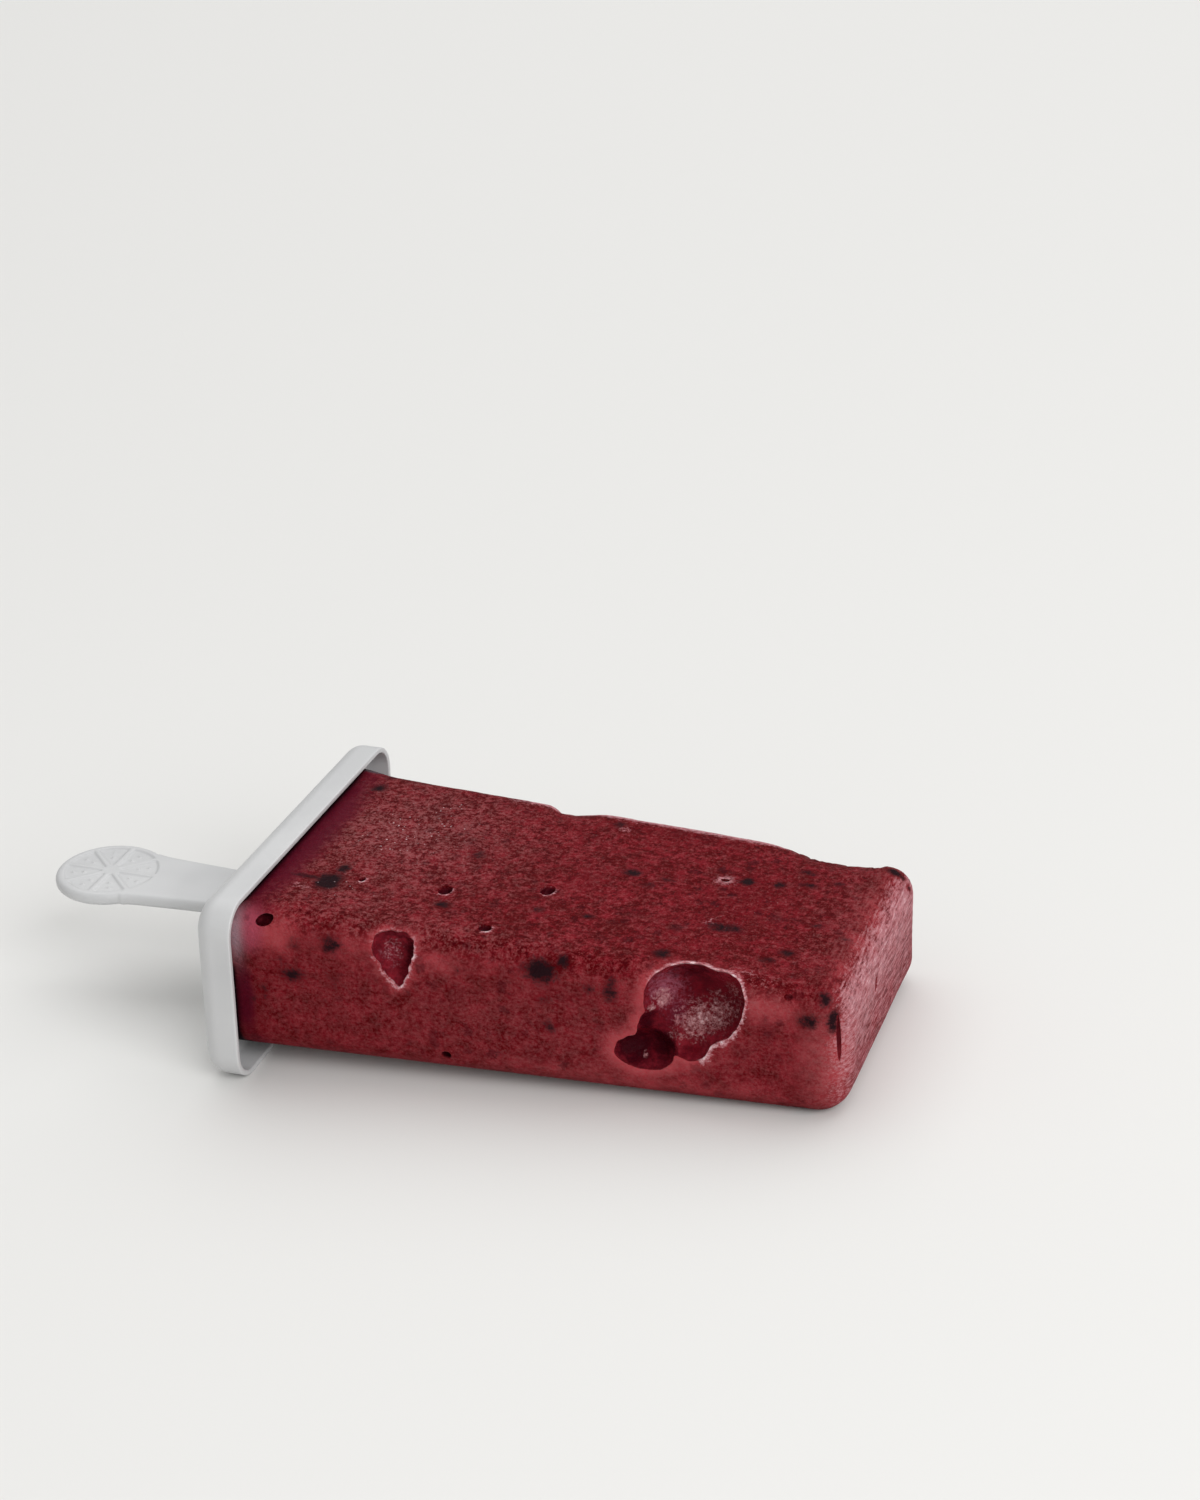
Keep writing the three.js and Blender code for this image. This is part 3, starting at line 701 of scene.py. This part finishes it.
def own(tree, name):
    """One of the piece's own fields."""
    return node(tree, "Attribute", {"attribute_name": name}).outputs["Fac"]


def spread(tree, name, *sways, gate):
    """A field made uneven by clouds, but still nothing where the field itself is nothing."""
    uneven = own(tree, name)
    for cloudy, amount in sways:
        uneven = swayed(tree, uneven, cloudy, amount)
    return maths(tree, "MULTIPLY", uneven, between(tree, own(tree, name), 0, gate))


def blend(tree, share, first, second):
    """Goes from one value to another by a share."""
    made = node(tree, "Mix", {"data_type": "FLOAT"})
    for socket, value in zip((made.inputs[0], made.inputs[2], made.inputs[3]), (share, first, second)):
        feed(tree, socket, value)
    return made.outputs[0]


def drifted(tree, place, scale, amount):
    """Places pushed about unevenly, which makes what is drawn by them ragged or wavy."""
    push = node(tree, "TexNoise", Vector=place, Scale=scale, Detail=3, Roughness=0.7).outputs["Color"]
    moved = node(tree, "VectorMath", {"operation": "MULTIPLY_ADD"})
    for socket, value in zip(moved.inputs, (push, (amount, amount, amount), place)):
        feed(tree, socket, value)
    return moved.outputs["Vector"]


def flecks(tree, place, scale, largest, rarity, blur):
    """Soft-edged dots of uneven size, one or none in each cell: how strong each is."""
    cells = node(tree, "TexVoronoi", Vector=place, Scale=scale)
    lot = node(tree, "SeparateColor", Color=cells.outputs["Color"])
    size = maths(tree, "MULTIPLY", maths(tree, "POWER", lot.outputs["Red"], rarity), largest)
    inside = between(tree, maths(tree, "SUBTRACT", size, cells.outputs["Distance"]), -blur, blur)
    return maths(tree, "MULTIPLY", inside, lot.outputs["Green"])


def frozen_puree():
    material, tree, shader, place = new_material("frozen_puree")
    dark_grain = (0.088, 0.0006, 0.0022, 1)
    light_grain = (0.245, 0.0130, 0.0230, 1)
    ruby = (0.125, 0.0010, 0.0050, 1)
    black = (0.011, 0.0045, 0.0065, 1)
    slate = (0.078, 0.0520, 0.0620, 1)
    clot_and_shade_red = (0.030, 0.0012, 0.0040, 1)
    violet = (0.088, 0.0040, 0.0140, 1)
    shadow = (0.006, 0.0015, 0.0035, 1)
    cavity_red = (0.230, 0.0150, 0.0260, 1)
    cavity_shade = (0.130, 0.0050, 0.0110, 1)
    juice_red = (0.200, 0.0025, 0.0090, 1)
    crust_grey = (0.420, 0.1850, 0.1950, 1)
    rose_and_glow = (0.430, 0.0600, 0.0720, 1)
    lilac = (0.390, 0.0680, 0.1050, 1)
    mauve = (0.340, 0.0950, 0.1400, 1)
    ash = (0.420, 0.2700, 0.3100, 1)
    dust = (0.300, 0.1250, 0.1250, 1)
    pink_frost = (0.500, 0.2200, 0.2450, 1)
    white_frost = (0.800, 0.6200, 0.6400, 1)

    # The clouds that all of it is drawn with. The finest grain is gritty on the sides, wisped on top, and
    # brushed into hairs on the tip.
    wander = cloud(tree, stretched(tree, place, (0.24, 0.18, 0.28)), detail=3, roughness=0.65)
    ragged = cloud(tree, stretched(tree, place, (0.60, 0.60, 0.9)), detail=4, roughness=0.7)
    grit = cloud(tree, stretched(tree, place, (1.6, 1.2, 1.9)), detail=2, roughness=0.85)
    waved = drifted(tree, place, scale=0.45, amount=3.0)
    wisps = cloud(tree, stretched(tree, waved, (0.75, 1.6, 1.6)), detail=3, roughness=0.8)
    brushed = node(tree, "Mapping", Vector=place, Scale=(2.2, 0.34, 2.4), Rotation=(0, 0, 0.2))
    hairs = cloud(tree, brushed.outputs["Vector"], detail=4, roughness=0.75)
    along = node(tree, "SeparateXYZ", Vector=place).outputs["X"]
    upper = own(tree, "upper")
    fine = blend(tree, between(tree, along, *HAIRY_TIP), blend(tree, upper, grit, wisps), hairs)

    # Grains of pulp, coarser on top, with deeper and paler parts, under a grey film and with dark pores.
    coarse = maths(tree, "ADD", upper, 1.3)
    coarse = maths(tree, "MULTIPLY", coarse, between(tree, along, *HAIRY_TIP, 1.0, 0.6))
    crumbs = maths(tree, "MULTIPLY", maths(tree, "SUBTRACT", grit, 0.5), upper)
    small = maths(tree, "ADD", maths(tree, "SUBTRACT", fine, 0.5), crumbs)
    large = maths(tree, "SUBTRACT", ragged, 0.5)
    mixed = maths(tree, "MULTIPLY_ADD", small, 1.2, large)
    middle = maths(tree, "MULTIPLY_ADD", upper, -0.13, 0.38)
    pulp = maths(tree, "MULTIPLY_ADD", small, 0.6, large)
    grains = swayed(tree, maths(tree, "MULTIPLY_ADD", pulp, coarse, middle), wander, 1.6)
    colour = over(tree, grains, dark_grain, light_grain)
    colour = laid(tree, colour, ruby, swayed(tree, own(tree, "ruby"), wander, 0.9), 0.1, 1.1, 0.7)
    # Rose parts, partly a painted glow along the edges and round the pits.
    colour = laid(tree, colour, rose_and_glow, swayed(tree, own(tree, "rose_and_glow"), wander, 0.5), 0.05, 1.0, 0.8)
    film = maths(tree, "MULTIPLY", own(tree, "film"), between(tree, mixed, -0.3, 0.3, 0, 0.45))
    least = maths(tree, "MULTIPLY_ADD", upper, -0.03, 0.05)
    dusty = maths(tree, "MULTIPLY_ADD", maths(tree, "MULTIPLY", small, coarse), 0.4, least)
    colour = over(tree, maths(tree, "ADD", film, dusty), colour, dust)
    pores = maths(tree, "MULTIPLY", upper, between(tree, mixed, -0.42, -0.05, 0.5, 0))
    colour = over(tree, pores, colour, clot_and_shade_red)

    # The walls of the pits, with painted shade: darker the deeper they lie.
    hollow = own(tree, "hollow")
    inside = over(tree, own(tree, "depth"), cavity_red, cavity_shade)
    inside = laid(tree, inside, clot_and_shade_red, ragged, 0.35, 0.62, 0.45)
    inside = laid(tree, inside, juice_red, swayed(tree, own(tree, "juice"), ragged, 0.8), 0.2, 1.0, 0.8)
    haze = spread(tree, "haze", (grit, 1.8), (ragged, 1.0), gate=0.25)
    inside = laid(tree, inside, mauve, haze, 0.2, 1.3, 0.75)
    # Dark clots, and painted shade under the rims and in the small pits.
    inside = laid(tree, inside, clot_and_shade_red, swayed(tree, own(tree, "clot_and_shade"), ragged, 0.8), 0.2, 0.9, 0.9)
    colour = over(tree, hollow, colour, inside)

    # Violet painted shade by the lid and wine-coloured parts in the pits, then bloom and a veil by the lid.
    colour = laid(tree, colour, violet, swayed(tree, own(tree, "wine_and_shade"), wander, 0.7), 0.25, 0.9, 0.92)
    colour = laid(tree, colour, lilac, swayed(tree, own(tree, "bloom"), wander, 0.5), 0.1, 0.9, 0.85)
    colour = over(tree, maths(tree, "MULTIPLY", own(tree, "veil"), 0.8), colour, ash)

    # Scraps of skin: loose blots and dots, the larger ones, and the peel. The gap by the lid is in shadow.
    faces = maths(tree, "SUBTRACT", 1.0, hollow)
    loose = maths(tree, "MULTIPLY", own(tree, "loose"), faces)
    torn = drifted(tree, place, scale=0.9, amount=2.4)
    blots = flecks(tree, torn, scale=0.21, largest=0.62, rarity=4.0, blur=0.16)
    dots = flecks(tree, torn, scale=0.5, largest=0.55, rarity=3.0, blur=0.16)
    colour = over(tree, maths(tree, "MULTIPLY", blots, loose), colour, black)
    dots = maths(tree, "MULTIPLY", dots, maths(tree, "MULTIPLY_ADD", loose, 0.5, 0.4))
    colour = over(tree, maths(tree, "MULTIPLY", dots, faces), colour, clot_and_shade_red)
    scraps = swayed(tree, swayed(tree, own(tree, "skin"), ragged, 1.5), grit, 0.8)
    colour = laid(tree, colour, black, scraps, 0.25, 1.02, 0.97)
    colour = laid(tree, colour, slate, swayed(tree, own(tree, "peel"), ragged, 1.0), 0.3, 0.8)
    colour = over(tree, own(tree, "shade"), colour, shadow)

    # Crust in the pits with two painted glints, frost on the faces and the lips, partly a painted highlight
    # on the lips, and specks of ice.
    crust_and_glints = spread(tree, "crust_and_glints", (grit, 2.6), (ragged, 1.8), gate=0.25)
    colour = laid(tree, colour, crust_grey, crust_and_glints, 0.15, 1.1, 0.8)
    colour = laid(tree, colour, white_frost, crust_and_glints, 0.85, 1.6, 0.6)
    frost = spread(tree, "rime", (fine, 1.5), (grit, 0.5), gate=0.1)
    colour = laid(tree, colour, pink_frost, frost, 0.10, 0.65, 0.85)
    colour = laid(tree, colour, white_frost, frost, 0.50, 1.15, 0.9)
    points = flecks(tree, place, scale=1.6, largest=0.26, rarity=1.5, blur=0.06)
    points = maths(tree, "MULTIPLY", points, own(tree, "specks"))
    colour = laid(tree, colour, white_frost, points, 0.2, 0.6, 0.6)
    tree.links.new(colour, shader.inputs["Base Color"])

    # Red light goes a little way into it. It is dull, duller under frost and less so in the pits.
    shader.inputs["Subsurface Weight"].default_value = 0.15
    shader.inputs["Subsurface Radius"].default_value = (1.0, 0.16, 0.14)
    shader.inputs["Subsurface Scale"].default_value = 0.002
    shader.inputs["IOR"].default_value = 1.31
    shader.inputs["Specular IOR Level"].default_value = 0.04
    dull = maths(tree, "MULTIPLY_ADD", hollow, -0.25, between(tree, grit, 0.3, 0.7, 0.44, 0.64))
    frosted = between(tree, frost, 0.1, 0.8, 0, 0.3)
    tree.links.new(maths(tree, "ADD", dull, frosted), shader.inputs["Roughness"])
    relief = maths(tree, "ADD", maths(tree, "MULTIPLY", ragged, 0.8), maths(tree, "MULTIPLY", grit, 0.7))
    bump = node(tree, "Bump", Height=relief, Strength=0.8, Distance=0.0003)
    tree.links.new(bump.outputs["Normal"], shader.inputs["Normal"])
    return material


lay_down("ice", ice_mesh, frozen_puree())

# Lid
# A shallow cap moulded in light grey polypropylene, open towards the ice. A panel is sunk in its outer face,
# with a slot through it for the handle's foot. The ice froze a little off its middle, so it sits aside of it.

LID_WIDTH, LID_THICKNESS = 70.2, 32.9
LID_MIDDLE = (LID_ASIDE, (LID_TOP + LID_BOTTOM) / 2)
LID_DEPTH = 6.8
LID_WALL = 0.95
LID_PLATE = 1.8
LID_CORNER = 5.6
LID_EDGE = 3.5
LID_CAVITY_EDGE = 1.2
RIM_EASE = 0.22
PANEL_WIDTH, PANEL_THICKNESS, PANEL_CORNER = 55.6, 22.6, 2.5
PANEL_DEPTH = 0.7
PANEL_SLOPE = 0.8
PANEL_EASE, PANEL_EASE_DEPTH = 0.08, 0.07
SLOT_WIDTH, SLOT_THICKNESS = 23.6, 7.8
SLOT_EASE = 0.3
HANDLE_MIDDLE = (0.5, -0.65)
# A half round keeps this much flat, so that its points stay apart, and a sharp change of slope has a ring of
# points this far beside it.
LEAST_FLAT = 0.05
BESIDE_EDGE, BESIDE_PANEL = 0.2, 0.4


def lid_section(x, inset):
    radius = max(LID_CORNER - inset, SHARPEST)
    return (x, LID_WIDTH - 2 * inset, LID_THICKNESS - 2 * inset, radius, LID_MIDDLE)


def slot_section(x, wider):
    width, thickness = SLOT_WIDTH + 2 * wider, SLOT_THICKNESS + 2 * wider
    return (x, width, thickness, thickness / 2 - LEAST_FLAT, HANDLE_MIDDLE)


def panel_section(x, wider):
    width, thickness = PANEL_WIDTH + 2 * wider, PANEL_THICKNESS + 2 * wider
    return (x, width, thickness, PANEL_CORNER + wider, LID_MIDDLE)


def lid_sections():
    """From the slot's inner end, round the outside and the rim, back to the cavity's floor."""
    floor = -(LID_DEPTH - LID_PLATE)
    face = -LID_DEPTH
    sunk = face + PANEL_DEPTH
    wall_top = face + LID_EDGE
    slot = [slot_section(sunk + SLOT_EASE - on, widened) for on, widened in rounding(SLOT_EASE, steps=4)]
    outer = [lid_section(wall_top - on, drawn_in) for on, drawn_in in rounding(LID_EDGE, steps=10)]
    rim = list(rounding(RIM_EASE, steps=4))
    inner = rounding(LID_CAVITY_EDGE, steps=5)
    return [
        slot_section(floor, 0), slot_section(floor - BESIDE_EDGE, 0),
        *slot,
        panel_section(sunk, -BESIDE_PANEL),
        panel_section(sunk, -PANEL_EASE), panel_section(sunk - PANEL_EASE_DEPTH, PANEL_EASE),
        panel_section(face + PANEL_EASE_DEPTH, PANEL_SLOPE - PANEL_EASE),
        panel_section(face, PANEL_SLOPE + PANEL_EASE),
        panel_section(face, PANEL_SLOPE + BESIDE_PANEL),
        *outer[::-1],
        lid_section(-RIM_EASE - BESIDE_EDGE, 0),
        *[lid_section(on - RIM_EASE, drawn_in) for on, drawn_in in rim],
        *[lid_section(on - RIM_EASE, LID_WALL - drawn_in) for on, drawn_in in rim[::-1]],
        *[lid_section(floor + LID_CAVITY_EDGE - on, LID_WALL + drawn_in) for on, drawn_in in inner],
        lid_section(floor, LID_WALL + LID_CAVITY_EDGE + 0.5),
    ]


def lid_shape():
    """The closed skin, with its faces put in an order that is the same each time."""
    shape, first, last = lofted(lid_sections(), count=64)
    bmesh.ops.bridge_loops(shape, edges=edges_of(shape, first) + edges_of(shape, last))
    bmesh.ops.recalc_face_normals(shape, faces=shape.faces)
    in_order = sorted(shape.faces, key=lambda face: [round(c, 4) for c in face.calc_center_median()])
    for index, face in enumerate(in_order):
        face.index = index
    shape.faces.sort()
    return shape


def moulded_plastic():
    material, tree, shader, place = new_material("moulded_plastic")
    light = (0.590, 0.593, 0.598, 1)
    dull = (0.540, 0.543, 0.550, 1)
    slow = cloud(tree, place, scale=0.05, detail=2)
    fine = cloud(tree, place, scale=2.2, detail=3)
    tree.links.new(over(tree, between(tree, slow, 0.35, 0.65), light, dull), shader.inputs["Base Color"])
    tree.links.new(between(tree, slow, 0.3, 0.7, 0.36, 0.46), shader.inputs["Roughness"])
    shader.inputs["Subsurface Weight"].default_value = 0.15
    shader.inputs["Subsurface Radius"].default_value = (1.0, 1.0, 1.0)
    shader.inputs["Subsurface Scale"].default_value = 0.0015
    bump = node(tree, "Bump", Height=fine, Strength=0.25, Distance=0.00004)
    tree.links.new(bump.outputs["Normal"], shader.inputs["Normal"])
    return material


grey_plastic = moulded_plastic()
lay_down("lid", as_mesh("lid", lid_shape()), grey_plastic)

# Handle
# A flat bar of the same plastic with a round head. Its lower end flares out into a foot that stands in the
# lid's slot, and both faces of the head have a fruit slice in low relief: sunk segments between spokes, with
# raised seeds.

HANDLE_THICKNESS = 2.3
HANDLE_EDGE = 1.0
WIDTH_AT_FOOT, WIDTH_AT_NECK = 12.9, 16.0
HEAD_RADIUS = 9.9
HEAD_AT = -39.55
FOOT_WIDTH, FOOT_THICKNESS = 22.4, 5.8
FOOT_STANDS_OUT = 0.2
FLARE = 4.6
FLARE_START = -(LID_DEPTH - PANEL_DEPTH + FOOT_STANDS_OUT)
FLARE_END = FLARE_START - FLARE
NECK_END = HEAD_AT + math.sqrt(HEAD_RADIUS ** 2 - (WIDTH_AT_NECK / 2) ** 2)
NECK_START = NECK_END + 3
NECK_FILLET = 0.45
FILLET_REACH = 1.2
WHEEL_RADIUS = 8.3
WHEEL_HUB = 1.7
WHEEL_DEPTH = 0.3
SPOKE = 0.9
SEGMENTS = 8
SEED_RADIUS = 0.36
SEED_ROOT = 0.2
SEEDS_AT = (4.8, 6.7)
DISC_POINTS = 96
HANDLE_FACE = 0.17


def bar_section(x):
    """The bar's section: a full foot in the slot, a curved flare above it, and a neck that widens."""
    drop = min(max((x - FLARE_END) / FLARE, 0), 1)
    flare = 1 - math.sqrt(1 - drop * drop)
    share = min(max((FLARE_END - x) / (FLARE_END - NECK_END), 0), 1)
    width = WIDTH_AT_FOOT + (WIDTH_AT_NECK - WIDTH_AT_FOOT) * share
    width += 2 * NECK_FILLET * math.exp(-abs(x - NECK_END) / FILLET_REACH)
    width += (FOOT_WIDTH - width) * flare
    thickness = HANDLE_THICKNESS + (FOOT_THICKNESS - HANDLE_THICKNESS) * flare
    radius = HANDLE_EDGE + (FOOT_THICKNESS / 2 - LEAST_FLAT - HANDLE_EDGE) * flare
    return (x, width, thickness, radius)


def handle_bar():
    """The bar, with sections close together in the flare and in the neck's fillets."""
    places = [-(LID_DEPTH - LID_PLATE)]
    places += [FLARE_START - FLARE * (1 - math.cos(math.pi / 2 * step / 12)) for step in range(13)]
    places += [FLARE_END + (NECK_START - FLARE_END) * step / 6 for step in range(1, 7)]
    places += [NECK_START - 0.4 * step for step in range(1, 13)]
    return closed_loft([bar_section(x) for x in places], count=32)


def thicken(shape, height):
    """Gives a flat shape its height."""
    raised = bmesh.ops.extrude_face_region(shape, geom=shape.faces[:])["geom"]
    top = [v for v in raised if isinstance(v, bmesh.types.BMVert)]
    bmesh.ops.translate(shape, vec=(0, 0, height), verts=top)


def handle_head():
    """A disc with rounded edges."""
    shape = bmesh.new()
    middle = Matrix.Translation((HEAD_AT, 0, -HANDLE_THICKNESS / 2))
    bmesh.ops.create_circle(shape, cap_ends=True, segments=DISC_POINTS, radius=HEAD_RADIUS, matrix=middle)
    thicken(shape, HANDLE_THICKNESS)
    rims = [e for e in shape.edges if abs(e.verts[0].co.z - e.verts[1].co.z) < 0.01]
    bmesh.ops.bevel(
        shape, geom=rims, offset=HANDLE_EDGE, segments=6, profile=0.5, affect="EDGES", material=-1,
    )
    bmesh.ops.recalc_face_normals(shape, faces=shape.faces)
    return shape


def cut_off(shape, at, towards):
    """Cuts off what lies beyond a plane."""
    geom = shape.verts[:] + shape.edges[:] + shape.faces[:]
    bmesh.ops.bisect_plane(shape, geom=geom, dist=0.0001, plane_co=at, plane_no=towards, clear_outer=True)


def wheel_segment(angle, side):
    """What is sunk between two spokes: a sector of a disc, with its point cut off at the hub."""
    shape = bmesh.new()
    bmesh.ops.create_circle(shape, cap_ends=True, segments=DISC_POINTS, radius=WHEEL_RADIUS)
    half = math.pi / SEGMENTS
    for turn in (-half, half):
        outward = Vector((-math.sin(turn), math.cos(turn), 0)) * math.copysign(1, turn)
        cut_off(shape, -outward * SPOKE / 2, outward)
    cut_off(shape, (WHEEL_HUB, 0, 0), (-1, 0, 0))
    bmesh.ops.translate(shape, vec=(0, 0, -WHEEL_DEPTH), verts=shape.verts)
    thicken(shape, 2 * WHEEL_DEPTH)
    on_face = Matrix.Translation((HEAD_AT, 0, side * HANDLE_THICKNESS / 2)) @ Matrix.Rotation(angle, 4, "Z")
    bmesh.ops.transform(shape, matrix=on_face, verts=shape.verts)
    bmesh.ops.recalc_face_normals(shape, faces=shape.faces)
    return shape


def seed(angle, away, side):
    shape = bmesh.new()
    height = WHEEL_DEPTH + SEED_ROOT
    turned = Matrix.Rotation(0 if side > 0 else math.pi, 4, "X")
    at = Matrix.Translation((
        HEAD_AT + away * math.cos(angle), away * math.sin(angle), side * (HANDLE_THICKNESS - height) / 2
    ))
    bmesh.ops.create_cone(
        shape, cap_ends=True, segments=16, radius1=SEED_RADIUS, radius2=0.6 * SEED_RADIUS, depth=height,
        matrix=at @ turned,
    )
    return shape


def handle_shape():
    groups = {name: new_collection(name) for name in ("joined", "sunk", "raised")}
    as_object("head", handle_head(), groups["joined"])
    for index in range(SEGMENTS):
        angle = (index + 0.5) * 2 * math.pi / SEGMENTS
        for side in (-1, 1):
            as_object("segment", wheel_segment(angle, side), groups["sunk"])
            for away in SEEDS_AT:
                as_object("seed", seed(angle, away, side), groups["raised"])
    bar = as_object("bar", handle_bar(), bpy.context.scene.collection)
    for name, operation in (("joined", "UNION"), ("sunk", "DIFFERENCE"), ("raised", "UNION")):
        combine(bar, operation, groups[name])
    even_out(bar, HANDLE_FACE)
    soften(bar, rounds=2)
    mesh = as_finished(bar)
    for group in groups.values():
        discard(group)
    mesh.transform(Matrix.Translation((0, *HANDLE_MIDDLE)))
    return mesh


lay_down("handle", handle_shape(), grey_plastic)

# Floor, light and camera
# The pop lies on a plain pale floor under a large soft light from the right and a broad one from above.

FLOOR_HALF = 6.0
floor_shape = bmesh.new()
bmesh.ops.create_grid(floor_shape, x_segments=1, y_segments=1, size=FLOOR_HALF)
floor = as_object("floor", floor_shape, bpy.context.scene.collection)
paper, _, paper_shader, _ = new_material("paper")
paper_shader.inputs["Base Color"].default_value = (0.80, 0.795, 0.78, 1)
paper_shader.inputs["Roughness"].default_value = 0.9
floor.data.materials.append(paper)


def soft_light(name, at, towards, size, power):
    lamp = bpy.data.lights.new(name, "AREA")
    lamp.shape = "RECTANGLE"
    lamp.size, lamp.size_y = size
    lamp.energy = power
    made = bpy.data.objects.new(name, lamp)
    made.location = at
    made.rotation_euler = (Vector(towards) - Vector(at)).to_track_quat("-Z", "Y").to_euler()
    bpy.context.scene.collection.objects.link(made)


soft_light("window", at=(0.95, -0.75, 0.8), towards=(0, 0, 0), size=(0.9, 0.9), power=11.5)
soft_light("sky", at=(0.0, 1.5, 1.7), towards=(0, 1.3, 0), size=(3.0, 3.0), power=30)

world = bpy.data.worlds.new("studio")
world.use_nodes = True
world.node_tree.nodes["Background"].inputs["Color"].default_value = (0.93, 0.93, 0.92, 1)
world.node_tree.nodes["Background"].inputs["Strength"].default_value = 0.5
bpy.context.scene.world = world
bpy.context.scene.view_settings.view_transform = "Standard"

CAMERA_AT = (183.0, -415.26, 248.3)
CAMERA_TURN = (65.800, 4.443, 18.399)
CAMERA_SENSOR, CAMERA_LENS = 36, 71.04
camera_data = bpy.data.cameras.new("camera")
camera_data.sensor_width = CAMERA_SENSOR
camera_data.lens = CAMERA_LENS
camera = bpy.data.objects.new("camera", camera_data)
camera.location = Vector(CAMERA_AT) * MM
camera.rotation_euler = [math.radians(a) for a in CAMERA_TURN]
bpy.context.scene.collection.objects.link(camera)
bpy.context.scene.camera = camera
